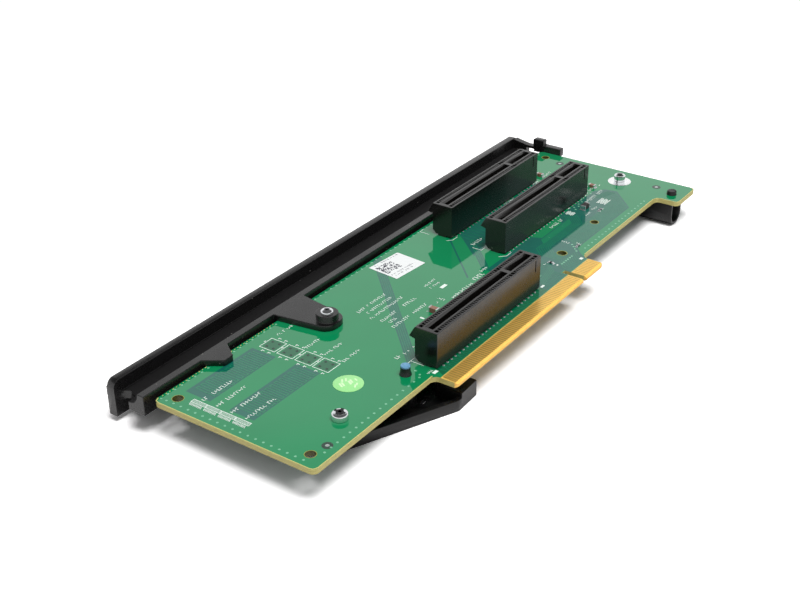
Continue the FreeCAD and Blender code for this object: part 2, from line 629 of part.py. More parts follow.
def chip_bodies(parts):
    """Bodies between the terminals."""
    return group([chip_block(part, TERMINAL, part[3][0] - TERMINAL) for part in parts])


def chip_terminals(parts):
    """Both plated ends of each part."""
    ends = [chip_block(part, 0, TERMINAL) for part in parts]
    ends += [chip_block(part, part[3][0] - TERMINAL, part[3][0]) for part in parts]
    return group(ends)


# ------------------------------------------------------------------ label
def part_label():
    """Paper label, slightly turned on the board."""
    label = box(-LABEL_LENGTH / 2, LABEL_LENGTH / 2, -LABEL_WIDTH / 2, LABEL_WIDTH / 2, 0, PAPER_THICK)
    label.rotate(V(0, 0, 0), V(0, 0, 1), LABEL_TURN)
    label.translate(V(LABEL_X, LABEL_Y, 0))
    return label


# ------------------------------------------------------------------ assembly
def build():
    """Every node in the board's frame."""
    nodes = {
        "circuit_board": circuit_board(),
        "edge_contacts_component_side": edge_contacts(0),
        "edge_contacts_solder_side": edge_contacts(UNDERSIDE - FINGER_THICK),
        "handle_rail": handle_rail(),
        "guide_bracket": guide_bracket(),
        "guide_sleeve": guide_sleeve(),
        "rail_screw": rail_screw(),
        "rail_nut": rail_nut(),
        "bracket_screw": bracket_screw(),
        "locating_peg": locating_peg(),
        "locating_peg_cap": locating_peg_cap(),
        "standoff": standoff(),
        "capacitor_bodies": chip_bodies(CAPACITORS),
        "capacitor_terminals": chip_terminals(CAPACITORS),
        "resistor_bodies": chip_bodies(RESISTORS),
        "resistor_terminals": chip_terminals(RESISTORS),
        "ferrite_bead_body": chip_bodies(BEADS),
        "ferrite_bead_terminals": chip_terminals(BEADS),
        "part_label": part_label(),
    }
    housing = slot_housing()
    springs = slot_springs()
    for number, (x, y) in enumerate(SLOT_PLACES, start=1):
        nodes[f"slot_housing_{number}"] = housing.translated(V(x, y, 0))
        nodes[f"slot_contacts_{number}"] = springs.translated(V(x, y, 0))
    return nodes


def export(nodes):
    """Write one STEP file for each node, with the origin at the middle of the footprint."""
    reach = group(list(nodes.values())).BoundBox
    origin = V((reach.XMin + reach.XMax) / 2, (reach.YMin + reach.YMax) / 2, FLOOR)
    os.makedirs("parts", exist_ok=True)
    for name, shape in nodes.items():
        shape.translated(-origin).exportStep(f"parts/{name}.step")


export(build())
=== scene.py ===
"""Riser card for expansion cards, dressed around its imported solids.

Sizes in the classes are millimetres in the board's own frame: X runs along the front edge,
Y towards the handle rail, and Z up from the component side. Surface.piece turns them into
metres in the record's frame.
"""
import logging
import math
from dataclasses import dataclass, field
from enum import Enum
from typing import Iterable, Sequence

import bmesh
import bpy
import numpy as np
from mathutils import Matrix, Vector


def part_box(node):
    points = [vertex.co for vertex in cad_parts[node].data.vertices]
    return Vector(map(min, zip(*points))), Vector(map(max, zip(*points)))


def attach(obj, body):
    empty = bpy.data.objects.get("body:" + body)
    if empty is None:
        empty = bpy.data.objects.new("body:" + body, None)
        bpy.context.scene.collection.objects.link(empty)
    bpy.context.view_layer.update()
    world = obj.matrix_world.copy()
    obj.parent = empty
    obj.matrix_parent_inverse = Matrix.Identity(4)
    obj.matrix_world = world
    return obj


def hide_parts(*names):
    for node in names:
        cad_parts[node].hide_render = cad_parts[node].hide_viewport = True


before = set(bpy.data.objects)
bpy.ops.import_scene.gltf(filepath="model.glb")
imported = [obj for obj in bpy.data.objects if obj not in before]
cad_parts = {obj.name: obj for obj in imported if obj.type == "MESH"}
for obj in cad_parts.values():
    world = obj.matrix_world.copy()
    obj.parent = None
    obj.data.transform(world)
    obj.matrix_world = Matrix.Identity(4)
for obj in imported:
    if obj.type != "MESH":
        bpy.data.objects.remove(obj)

LOG = logging.getLogger("riser_card")
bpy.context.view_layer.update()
Colour = tuple[float, float, float]
Point = tuple[float, float]
Plan = Sequence[Point]
Socket = bpy.types.NodeSocket

# metres in a millimetre, and the distance in metres under which points are one
MM = 0.001
MERGE = 2e-7

# the board, in millimetres
BOARD_LENGTH = 205.7
BOARD_WIDTH = 54.3
BOARD_THICK = 1.57
CONTACT_PITCH = 1.0

# underside and top of each thin layer, in millimetres over the board's face
INK = (0.035, 0.055)
COPPER = (0.012, 0.03)
WINDOW = (-0.02, 0.001)
DEEP = (WINDOW[0], COPPER[0])
BARE = (-0.01, 0.014)
# step in height between windows that overlap
LEVEL = 0.0006


def board_corner() -> np.ndarray:
    """Near front corner of the component side, in metres."""
    low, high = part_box("circuit_board")
    return np.array([low[0], high[1] - BOARD_WIDTH * MM, high[2]])


CORNER = board_corner()


def in_board(node: str) -> tuple[np.ndarray, np.ndarray]:
    """Lowest and highest corner of a CAD node, in millimetres in the board's frame.

    Args:
        node: Name of the CAD node.

    Returns:
        Both corners.
    """
    low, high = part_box(node)
    return (np.array(low) - CORNER) / MM, (np.array(high) - CORNER) / MM


def plan_centre(node: str) -> np.ndarray:
    """Plan centre of a CAD node, in millimetres in the board's frame, as one row."""
    low, high = in_board(node)
    return (low + high)[None, :2] / 2


# ---------------------------------------------------------------- node graphs
class Graph:
    """A shader node tree, built by short calls."""

    def __init__(self, tree: bpy.types.NodeTree) -> None:
        """Keeps the tree that the calls add to."""
        self.tree = tree

    def node(self, kind: str, inputs: dict | None = None, **settings: object) -> bpy.types.Node:
        """Adds one node.

        Args:
            kind: Node type without its ShaderNode prefix.
            inputs: Values or sockets for its inputs, by name or number.
            settings: The node's own options.

        Returns:
            The new node.
        """
        made = self.tree.nodes.new("ShaderNode" + kind)
        for option, value in settings.items():
            setattr(made, option, value)
        for key, value in (inputs or {}).items():
            self.feed(made.inputs[key], value)
        return made

    def feed(self, socket: Socket, value: object) -> None:
        """Links a socket to an input, or writes a value into it.

        Args:
            socket: The input.
            value: Another node's output, a number, or a colour of three or four parts.
        """
        if isinstance(value, bpy.types.NodeSocket):
            self.tree.links.new(value, socket)
        elif socket.type == "RGBA" and len(value) == 3:
            socket.default_value = (*value, 1.0)
        else:
            socket.default_value = value

    def math(self, operation: str, *values: object) -> Socket:
        """Result of a Math node on one to three values."""
        return self.node("Math", dict(enumerate(values)), operation=operation).outputs[0]

    def both(self, first: object, second: object) -> Socket:
        """Mask that is one where two masks are."""
        return self.math("MULTIPLY", first, second)

    def split(self, vector: object) -> Sequence[Socket]:
        """The three parts of a vector."""
        return self.node("SeparateXYZ", {0: vector}).outputs

    def upward(self) -> Socket:
        """How far a face looks up: one on a level top, nothing on an upright side."""
        return self.split(self.node("NewGeometry").outputs["Normal"])[2]

    def span(self, value: object, low: float, high: float, to_low: float = 0.0,
             to_high: float = 1.0) -> Socket:
        """Value carried from one range to another, and held inside the second."""
        ranged = self.node("MapRange", {0: value, 1: low, 2: high, 3: to_low, 4: to_high})
        return ranged.outputs[0]

    def blend(self, share: object, first: object, second: object) -> Socket:
        """Mix of two colours.

        Args:
            share: Share of the second colour.
            first: Colour where the share is nothing.
            second: Colour where the share is one.

        Returns:
            The mixed colour.
        """
        mix = self.node("Mix", {0: share}, data_type="RGBA")
        self.feed(mix.inputs[6], first)
        self.feed(mix.inputs[7], second)
        return mix.outputs[2]

    def mix(self, share: object, first: object, second: object) -> Socket:
        """Mix of two numbers, the second by its share."""
        made = self.node("Mix", {0: share, 2: first, 3: second}, data_type="FLOAT")
        return made.outputs[0]

    def noise(self, place: object, size_mm: float, detail: float = 3.0,
              roughness: float = 0.55) -> Socket:
        """Noise whose patches are about size_mm across."""
        made = self.node("TexNoise", {"Vector": place, "Scale": 1.0 / (size_mm * MM),
                                      "Detail": detail, "Roughness": roughness})
        return made.outputs[0]


class Effect(Enum):
    """The effects that several finishes share, as node groups."""

    GRAIN = "moulded_grain"
    SPECKS = "dust_specks"
    SMUDGE = "handling_smudge"
    BRUSH = "fine_scratches"


class EffectLibrary:
    """Builds each shared node group once."""

    def __init__(self) -> None:
        """Starts with no group built."""
        self.built: dict[Effect, bpy.types.NodeTree] = {}

    def group(self, effect: Effect) -> bpy.types.NodeTree:
        """The node group of an effect, built at its first use.

        Args:
            effect: The effect.

        Returns:
            Its group, with a place, a size in millimetres and an amount as inputs.
        """
        if effect not in self.built:
            tree = bpy.data.node_groups.new(effect.value, "ShaderNodeTree")
            for name in ("Place", "Size", "Amount"):
                kind = "NodeSocketVector" if name == "Place" else "NodeSocketFloat"
                tree.interface.new_socket(name, in_out="INPUT", socket_type=kind)
            tree.interface.new_socket("Value", in_out="OUTPUT", socket_type="NodeSocketFloat")
            graph = Graph(tree)
            source = tree.nodes.new("NodeGroupInput")
            sink = tree.nodes.new("NodeGroupOutput")
            place, size, amount = source.outputs[:3]
            scale = graph.math("DIVIDE", 1.0, graph.math("MULTIPLY", size, MM))
            maker = {Effect.GRAIN: self._grain, Effect.SPECKS: self._specks,
                     Effect.SMUDGE: self._smudge, Effect.BRUSH: self._brush}[effect]
            tree.links.new(maker(graph, place, scale, amount), sink.inputs[0])
            self.built[effect] = tree
        return self.built[effect]

    def _grain(self, graph: Graph, place: object, scale: object, amount: object) -> object:
        """Fine even noise around a half, spread by the amount.

        Args:
            graph: The group's tree.
            place: Where the pattern is read.
            scale: Its scale, one over its size in metres.
            amount: How far it strays from a half.

        Returns:
            The value.
        """
        fine = graph.node("TexNoise", {"Vector": place, "Scale": scale, "Detail": 2.0,
                                       "Roughness": 0.7}).outputs[0]
        spread = graph.math("MULTIPLY", graph.math("SUBTRACT", fine, 0.5), amount)
        return graph.math("ADD", spread, 0.5)

    def _specks(self, graph: Graph, place: object, scale: object, amount: object) -> object:
        """Small dots at random cell centres; a few cells of the pattern carry one.

        Args:
            graph: The group's tree.
            place: Where the pattern is read.
            scale: Its scale, one over its size in metres.
            amount: Share of the cells that carry a dot.

        Returns:
            One on a dot, and nothing beside it.
        """
        cells = graph.node("TexVoronoi", {"Vector": place, "Scale": scale, "Randomness": 1.0})
        near = graph.math("LESS_THAN", cells.outputs["Distance"], 0.16)
        pick = graph.node("SeparateColor", {0: cells.outputs["Color"]}).outputs[0]
        return graph.math("MULTIPLY", near, graph.math("LESS_THAN", pick, amount))

    def _smudge(self, graph: Graph, place: object, scale: object, amount: object) -> object:
        """Wide soft patches from nothing up to the amount.

        Args:
            graph: The group's tree.
            place: Where the pattern is read.
            scale: Its scale, one over its size in metres.
            amount: Highest value of a patch.

        Returns:
            The value.
        """
        wide = graph.node("TexNoise", {"Vector": place, "Scale": scale, "Detail": 4.0,
                                       "Roughness": 0.6}).outputs[0]
        return graph.math("MULTIPLY", graph.span(wide, 0.42, 0.68), amount)

    def _brush(self, graph: Graph, place: object, scale: object, amount: object) -> object:
        """Noise drawn out along X, as fine scratches.

        Args:
            graph: The group's tree.
            place: Where the pattern is read.
            scale: Its scale, one over its size in metres.
            amount: Height of the scratches.

        Returns:
            The value, around nothing.
        """
        long = graph.node("Mapping", {"Vector": place, "Scale": (0.08, 1.0, 1.0)}).outputs[0]
        fine = graph.node("TexNoise", {"Vector": long, "Scale": scale, "Detail": 3.0,
                                       "Roughness": 0.7}).outputs[0]
        return graph.math("MULTIPLY", graph.math("SUBTRACT", fine, 0.5), amount)


EFFECTS = EffectLibrary()


class Sheet(Graph):
    """One material with its Principled shader, its Object coordinates and shared effects."""

    def __init__(self, name: str) -> None:
        """Starts a material.

        Args:
            name: Name of the finish, which the material takes.
        """
        self.material = bpy.data.materials.new(name)
        self.material.use_nodes = True
        super().__init__(self.material.node_tree)
        self.shader = self.tree.nodes["Principled BSDF"]
        self.place = self.node("TexCoord").outputs["Object"]

    def effect(self, effect: Effect, size_mm: float, amount: float) -> Socket:
        """Places a shared effect in the material.

        Args:
            effect: The effect.
            size_mm: Size of its pattern in millimetres.
            amount: Its amount.

        Returns:
            Its value.
        """
        made = self.node("Group", {}, node_tree=EFFECTS.group(effect))
        self.feed(made.inputs["Place"], self.place)
        made.inputs["Size"].default_value = size_mm
        made.inputs["Amount"].default_value = amount
        return made.outputs[0]

    def tone(self, colour: object, value: object, strength: float) -> Socket:
        """Colour made lighter or darker by a value.

        Args:
            colour: The colour.
            value: From nothing to one; a half leaves the colour as it is.
            strength: Largest change, as a share of the colour.

        Returns:
            The changed colour.
        """
        factor = self.span(value, 0.0, 1.0, 1.0 - strength, 1.0 + strength)
        scaled = self.node("VectorMath", {0: colour, 3: factor}, operation="SCALE")
        return scaled.outputs[0]

    def rgb(self, colour: Colour) -> Socket:
        """A constant colour as a socket."""
        made = self.node("CombineColor", {0: colour[0], 1: colour[1], 2: colour[2]})
        return made.outputs[0]

    def bump(self, height: object, depth_mm: float, strength: float = 1.0) -> None:
        """Feeds the shader's normal from a height.

        Args:
            height: The height, from nothing to one.
            depth_mm: What a height of one stands for, in millimetres.
            strength: Strength of the whole.
        """
        made = self.node("Bump", {"Height": height, "Distance": depth_mm * MM,
                                  "Strength": strength})
        self.feed(self.shader.inputs["Normal"], made.outputs[0])

    def set(self, **sockets: object) -> None:
        """Writes shader inputs, with underscores for the spaces in their names."""
        for name, value in sockets.items():
            self.feed(self.shader.inputs[name.replace("_", " ")], value)


# ---------------------------------------------------------------- finishes
@dataclass(frozen=True)
class Moulding:
    """Moulded plastic with a fine grain, handling smudges and a little dust.

    Upper faces less than coarse_below millimetres over the table have a coarse texture.
    """

    name: str
    colour: Colour = (0.0060, 0.0058, 0.0060)
    roughness: float = 0.24
    grain_mm: float = 0.35
    grain_depth: float = 0.005
    grain_tone: float = 0.35
    specks: float = 0.05
    speck_mm: float = 1.3
    dust: Colour = (0.32, 0.31, 0.29)
    dust_share: float = 0.45
    smudge: float = 0.08
    smudge_mm: float = 14.0
    ior: float = 1.5
    coarse_below: float = 0.0
    coarse: float = 0.75

    def material(self) -> bpy.types.Material:
        """The finish as a material.

        Returns:
            The material.
        """
        sheet = Sheet(self.name)
        grain = sheet.effect(Effect.GRAIN, self.grain_mm, 1.6)
        smudge = sheet.effect(Effect.SMUDGE, self.smudge_mm, self.smudge)
        specks = sheet.effect(Effect.SPECKS, self.speck_mm, self.specks)
        body = sheet.tone(sheet.rgb(self.colour), grain, self.grain_tone)
        dusted = sheet.blend(sheet.math("MULTIPLY", specks, self.dust_share), body, self.dust)
        rough = sheet.math("ADD", sheet.span(grain, 0.2, 0.8, self.roughness - 0.05,
                                             self.roughness + 0.06), smudge)
        if self.coarse_below > 0.0:
            upper = sheet.math("GREATER_THAN", sheet.upward(), 0.3)
            low = sheet.math("LESS_THAN", sheet.split(sheet.place)[2], self.coarse_below * MM)
            rough = sheet.mix(sheet.both(upper, low), rough, self.coarse)
        sheet.set(Base_Color=dusted, Roughness=rough, IOR=self.ior)
        sheet.bump(grain, self.grain_depth)
        return sheet.material


@dataclass(frozen=True)
class Plating:
    """Plated metal, polished or brushed, with tarnish in soft patches."""

    name: str
    colour: Colour
    roughness: float = 0.2
    tarnish: float = 0.15
    brush_mm: float = 0.12
    depth: float = 0.004
    smudge_mm: float = 5.0
    dull: float = 0.62

    def material(self) -> bpy.types.Material:
        """The finish as a material.

        Returns:
            The material.
        """
        sheet = Sheet(self.name)
        brush = sheet.effect(Effect.BRUSH, self.brush_mm, 0.5)
        smudge = sheet.effect(Effect.SMUDGE, self.smudge_mm, self.tarnish)
        dull = tuple(self.dull * part for part in self.colour)
        body = sheet.blend(smudge, self.colour, dull)
        rough = sheet.math("ADD", sheet.math("ADD", brush, self.roughness), smudge)
        sheet.set(Base_Color=body, Metallic=1.0, Roughness=sheet.span(rough, 0.02, 1.0, 0.02, 1.0))
        sheet.bump(brush, self.depth)
        return sheet.material


@dataclass(frozen=True)
class Gold:
    """Hard gold over the tongue's contacts, warm, with fine wipe marks across them."""

    name: str = "contact_gold"
    colour: Colour = (1.0, 0.66, 0.17)
    worn: Colour = (0.84, 0.46, 0.09)
    wear: float = 0.35
    wear_mm: float = 9.0
    brush_mm: float = 0.5
    roughness: float = 0.34
    metal: float = 0.87

    def material(self) -> bpy.types.Material:
        """The finish as a material.

        Returns:
            The material.
        """
        sheet = Sheet(self.name)
        brush = sheet.effect(Effect.BRUSH, self.brush_mm, 0.12)
        smudge = sheet.effect(Effect.SMUDGE, self.wear_mm, self.wear)
        wiped = sheet.blend(smudge, self.colour, self.worn)
        sheet.set(Base_Color=wiped, Metallic=self.metal,
                  Roughness=sheet.math("ADD", brush, self.roughness))
        sheet.bump(brush, 0.001)
        return sheet.material


@dataclass(frozen=True)
class SolderMask:
    """Glossy green mask over the laminate, which shows on the edges and on the tongue."""

    name: str = "solder_mask"
    green: Colour = (0.0015, 0.206, 0.073)
    laminate: Colour = (0.52, 0.46, 0.155)
    finger_gap: Colour = (0.62, 0.40, 0.09)
    # bevel: cut laminate of the tongue's bevel, partly its own colour and partly a painted
    # highlight where it catches the light
    bevel: Colour = (1.0, 0.57, 0.115)
    # bounce: grey that diffuse rays see in place of the green mask, painted bounce light that keeps
    # the shadows it lights neutral
    bounce: Colour = (0.085, 0.085, 0.083)
    bounce_share: float = 0.75
    gloss: float = 0.045
    edge_roughness: float = 0.55
    gap_roughness: float = 0.22
    ior: float = 1.58
    level: float = 0.96
    tongue: Point = (51.0, 137.0)
    mask_line: float = -2.15
    bevel_line: float = -6.65
    layer_stretch: tuple[float, float, float] = (0.25, 0.25, 2.2)
    layer_scale: float = 2200.0
    patch_mm: float = 22.0
    peel_mm: float = 1.6

    def material(self) -> bpy.types.Material:
        """The finish as a material.

        Level faces have mask and the sides bare laminate. On the tongue, past the mask's line,
        the gaps between the contacts show, and past the bevel's line its gold: the cut laminate's
        own colour, made brighter by a painted highlight where the bevel catches the light.

        Returns:
            The material.
        """
        sheet = Sheet(self.name)
        centred = sheet.node("Mapping", {"Vector": sheet.place,
                                         "Location": tuple(-CORNER)}).outputs[0]
        x, y, _ = sheet.split(centred)
        up = sheet.upward()
        side = sheet.math("LESS_THAN", sheet.math("ABSOLUTE", up), self.level)
        beyond = sheet.math("LESS_THAN", y, self.mask_line * MM)
        within = sheet.both(sheet.math("GREATER_THAN", x, self.tongue[0] * MM),
                            sheet.math("LESS_THAN", x, self.tongue[1] * MM))
        bare = sheet.math("MAXIMUM", side, sheet.both(beyond, within))
        tip = sheet.both(sheet.math("LESS_THAN", y, self.bevel_line * MM), within)
        top = sheet.math("GREATER_THAN", up, self.level)
        gap = sheet.both(within, sheet.both(beyond, top))
        drawn = sheet.node("Mapping", {"Vector": centred, "Scale": self.layer_stretch}).outputs[0]
        layers = sheet.node("TexNoise", {"Vector": drawn, "Scale": self.layer_scale,
                                         "Detail": 3.0}).outputs[0]
        # past the bevel's line the laminate takes the bevel colour, with its painted highlight
        base = sheet.blend(gap, sheet.blend(tip, self.laminate, self.bevel), self.finger_gap)
        fibre = sheet.tone(base, layers, 0.4)
        cloth = sheet.noise(sheet.place, self.patch_mm, 2.0)
        mask = sheet.tone(sheet.rgb(self.green), cloth, 0.10)
        # painted bounce light: diffuse rays take a grey from the board in place of its green
        onward = sheet.math("MULTIPLY", sheet.node("LightPath").outputs["Is Diffuse Ray"],
                            self.bounce_share)
        bare_rough = sheet.mix(gap, self.edge_roughness, self.gap_roughness)
        sheet.set(Base_Color=sheet.blend(onward, sheet.blend(bare, mask, fibre), self.bounce),
                  Roughness=sheet.mix(bare, self.gloss, bare_rough), IOR=self.ior)
        peel = sheet.noise(sheet.place, self.peel_mm, 1.0)
        sheet.bump(sheet.mix(bare, peel, layers), 0.004, 0.6)
        return sheet.material


@dataclass(frozen=True)
class Lacquer:
    """Flat colour under gloss, such as mask over bare laminate, over copper or over a via."""

    name: str
    colour: Colour
    roughness: float = 0.045
    tone_mm: float = 3.0
    variation: float = 0.12
    ior: float = SolderMask.ior
    peel_mm: float = SolderMask.peel_mm

    def material(self) -> bpy.types.Material:
        """The finish as a material.

        Returns:
            The material.
        """
        sheet = Sheet(self.name)
        cloth = sheet.noise(sheet.place, self.tone_mm, 2.0)
        rough = sheet.span(cloth, 0.3, 0.7, self.roughness, self.roughness + 0.02)
        sheet.set(Base_Color=sheet.tone(sheet.rgb(self.colour), cloth, self.variation),
                  Roughness=rough, IOR=self.ior)
        sheet.bump(sheet.noise(sheet.place, self.peel_mm, 1.0), 0.004, 0.6)
        return sheet.material


@dataclass(frozen=True)
class Matt:
    """Ink, paper or fired ceramic: matt colour with a faint mottle."""

    name: str
    colour: Colour
    roughness: float = 0.6
    mottle_mm: float = 0.4
    variation: float = 0.08

    def material(self) -> bpy.types.Material:
        """The finish as a material.

        Returns:
            The material.
        """
        sheet = Sheet(self.name)
        mottle = sheet.effect(Effect.GRAIN, self.mottle_mm, 1.2)
        sheet.set(Base_Color=sheet.tone(sheet.rgb(self.colour), mottle, self.variation),
                  Roughness=sheet.span(mottle, 0.2, 0.8, self.roughness - 0.08,
                                       self.roughness + 0.08))
        sheet.bump(mottle, 0.004)
        return sheet.material


class Palette:
    """Every finish of the card, made once and handed out by name."""

    FINISHES = {
        "board": SolderMask(),
        "gold": Gold(),
        "rail": Moulding("rail_plastic", roughness=0.24, grain_mm=0.4, grain_depth=0.006,
                         specks=0.05, ior=1.56, coarse_below=9.7),
        "guide": Moulding("guide_plastic", roughness=0.30, specks=0.03, ior=1.42),
        "connector": Moulding("connector_plastic", colour=(0.0050, 0.0045, 0.0040), roughness=0.20,
                              grain_mm=0.25, grain_depth=0.003, specks=0.012, ior=1.56),
        "peg": Moulding("peg_plastic", roughness=0.25, specks=0.0),
        "blue": Moulding("blue_plastic", colour=(0.12, 0.29, 0.46), roughness=0.4, specks=0.0),
        "spring": Plating("spring_metal", (0.55, 0.42, 0.26), 0.32),
        "chrome": Plating("screw_metal", (0.74, 0.76, 0.78), 0.12, 0.04, 0.5, 0.0004),
        "nut": Plating("nut_metal", (0.62, 0.63, 0.66), 0.3),
        "tin": Plating("tin", (0.80, 0.82, 0.83), 0.28, 0.2),
        "pad": Plating("pad_tin", (0.95, 0.97, 0.97), 0.24, 0.03, 0.9, 0.0001),
        "capacitor": Matt("capacitor_ceramic", (0.25, 0.13, 0.09), 0.45),
        "resistor": Matt("resistor_ceramic", (0.02, 0.02, 0.022), 0.35),
        "ferrite": Matt("ferrite", (0.03, 0.025, 0.025), 0.5),
        "paper": Matt("label_paper", (0.76, 0.78, 0.78), 0.55, 0.8, 0.03),
        "print": Matt("label_print", (0.05, 0.05, 0.07), 0.5),
        "sticker": Matt("sticker_paper", (0.31, 0.70, 0.27), 0.4),
        "sticker_print": Matt("sticker_print", (0.62, 0.88, 0.52), 0.45),
        "ink": Matt("printing_ink", (0.74, 0.83, 0.77), 0.5),
        "laminate": Matt("board_laminate", (0.56, 0.50, 0.17), 0.5, 0.3, 0.25),
        "hole": Matt("hole_wall", (0.085, 0.075, 0.018), 0.5, 0.3, 0.3),
        "land": Matt("hole_land", (0.27, 0.29, 0.06), 0.4, 0.3, 0.2),
        "window": Lacquer("mask_on_laminate", (0.002, 0.108, 0.078)),
        "trace": Lacquer("mask_on_copper", (0.003, 0.175, 0.080)),
        "pool": Lacquer("mask_on_ground", (0.001, 0.105, 0.042)),
        "via": Lacquer("mask_on_via", (0.16, 0.44, 0.27), 0.16),
        "dark": Matt("fiducial_dark", (0.018, 0.045, 0.032), 0.25),
        # dark matt for the screws' recesses and the standoff's bore: painted shade
        "recess": Matt("recess_shade", (0.012, 0.012, 0.014), 0.6),
    }

    def __init__(self) -> None:
        """Starts with no material made."""
        self.made: dict[str, bpy.types.Material] = {}

    def __getitem__(self, key: str) -> bpy.types.Material:
        """The material of a finish, made at its first use.

        Args:
            key: Key of the finish.

        Returns:
            Its material.
        """
        if key not in self.made:
            self.made[key] = self.FINISHES[key].material()
        return self.made[key]


PALETTE = Palette()


# ---------------------------------------------------------------- surfaces
class Surface:
    """Points and faces of one piece, worked out as arrays before its mesh is made."""

    CUBE = np.array([[0, 0, 0], [1, 0, 0], [1, 1, 0], [0, 1, 0],
                     [0, 0, 1], [1, 0, 1], [1, 1, 1], [0, 1, 1]], float)
    CUBE_FACES = np.array([[0, 3, 2, 1], [4, 5, 6, 7], [0, 1, 5, 4],
                           [1, 2, 6, 5], [2, 3, 7, 6], [3, 0, 4, 7]])

    def __init__(self) -> None:
        """Starts empty."""
        self.points: list[np.ndarray] = []
        self.faces: list[np.ndarray] = []
        self.total = 0

    def add(self, points: np.ndarray, *faces: np.ndarray) -> "Surface":
        """Adds points and faces.

        Args:
            points: One row each.
            faces: Blocks of faces with the same number of corners, which count from the first
                of these points.

        Returns:
            The surface itself.
        """
        self.points.append(np.asarray(points, float).reshape(-1, 3))
        self.faces += [np.asarray(block).reshape(-1, np.asarray(block).shape[-1]) + self.total
                       for block in faces]
        self.total += len(self.points[-1])
        return self

    def blocks(self, low: np.ndarray, high: np.ndarray) -> "Surface":
        """Boxes between pairs of opposite corners: low plus the unit cube times the size.

        Args:
            low: Lowest corner of each box.
            high: Highest corner of each.

        Returns:
            The surface itself.
        """
        low, high = np.atleast_2d(low).astype(float), np.atleast_2d(high).astype(float)
        points = low[:, None] + self.CUBE[None] * (high - low)[:, None]
        faces = self.CUBE_FACES[None] + 8 * np.arange(len(low))[:, None, None]
        return self.add(points, faces)

    def bars(self, centres: np.ndarray, sizes: np.ndarray, low: float, high: float,
             turn: np.ndarray | float = 0.0) -> "Surface":
        """Flat bars: the unit cube scaled, turned by an angle in plan and moved to its centre.

        Args:
            centres: Plan centres, one row each.
            sizes: Length and width of each.
            low: Height of the undersides.
            high: Height of the tops.
            turn: Angle in degrees, one for all or one each.

        Returns:
            The surface itself.
        """
        centres = np.atleast_2d(centres).astype(float)
        sizes = np.broadcast_to(np.asarray(sizes, float), centres.shape)
        angle = np.radians(np.broadcast_to(turn, len(centres)))[:, None]
        flat = (self.CUBE[None, :, :2] - 0.5) * sizes[:, None]
        x = centres[:, :1] + flat[..., 0] * np.cos(angle) - flat[..., 1] * np.sin(angle)
        y = centres[:, 1:] + flat[..., 0] * np.sin(angle) + flat[..., 1] * np.cos(angle)
        z = np.broadcast_to(low + self.CUBE[:, 2] * (high - low), x.shape)
        faces = self.CUBE_FACES[None] + 8 * np.arange(len(centres))[:, None, None]
        return self.add(np.stack([x, y, z], -1), faces)

    def prism(self, outline: Plan, low: float, high: float) -> "Surface":
        """Flat outline drawn up: each plan point at both heights, and a wall between neighbours.

        Args:
            outline: Plan points, anticlockwise.
            low: Height of the underside.
            high: Height of the top.

        Returns:
            The surface itself.
        """
        plan = np.asarray(outline, float)
        count = len(plan)
        step = np.arange(count)
        after = (step + 1) % count
        bottom, top = np.c_[plan, np.full(count, low)], np.c_[plan, np.full(count, high)]
        walls = np.stack([step, after, after + count, step + count], -1)
        return self.add(np.concatenate([bottom, top]), step[None, ::-1], (step + count)[None],
                        walls)

    def turned(self, profile: Plan, centres: np.ndarray, sides: int,
               ring: bool = False) -> "Surface":
        """Surface of revolution: radius i times the cosine and sine of angle j, at height i.

        Args:
            profile: Radius and height of each point, up the outside; a closed ring is turned
                anticlockwise in its section.
            centres: Plan centres, one row each.
            sides: Steps round each copy.
            ring: Joins the profile's last point to its first.

        Returns:
            The surface itself.
        """
        radius, height = np.asarray(profile, float).T
        angle = np.linspace(0, 2 * np.pi, sides, endpoint=False)
        rows = len(radius)
        index = np.arange(rows * sides).reshape(rows, sides)
        index[radius == 0] = index[radius == 0][:, :1]
        first = np.arange(rows if ring else rows - 1)
        second = (first + 1) % rows
        after = np.roll(index, -1, 1)
        quads = np.stack([index[first], after[first], after[second], index[second]], -1)
        quads = quads.reshape(-1, 4)
        low_pole = quads[:, 0] == quads[:, 1]
        high_pole = quads[:, 2] == quads[:, 3]
        blocks = [quads[~low_pole & ~high_pole], quads[low_pole][:, 1:],
                  quads[high_pole & ~low_pole][:, :3]]
        used, renumbered = np.unique(np.concatenate([block.ravel() for block in blocks]),
                                     return_inverse=True)
        plan = np.stack([np.outer(radius, np.cos(angle)), np.outer(radius, np.sin(angle)),
                         np.repeat(height[:, None], sides, 1)], -1).reshape(-1, 3)[used]
        centres = np.atleast_2d(centres).astype(float)
        moves = np.c_[centres, np.zeros(len(centres))]
        points = plan[None] + moves[:, None]
        copies = len(used) * np.arange(len(centres))[:, None, None]
        faces, start = [], 0
        for block in blocks:
            part = renumbered[start:start + block.size].reshape(block.shape)
            start += block.size
            if len(part):
                faces.append(part[None] + copies)
        return self.add(points, *faces)

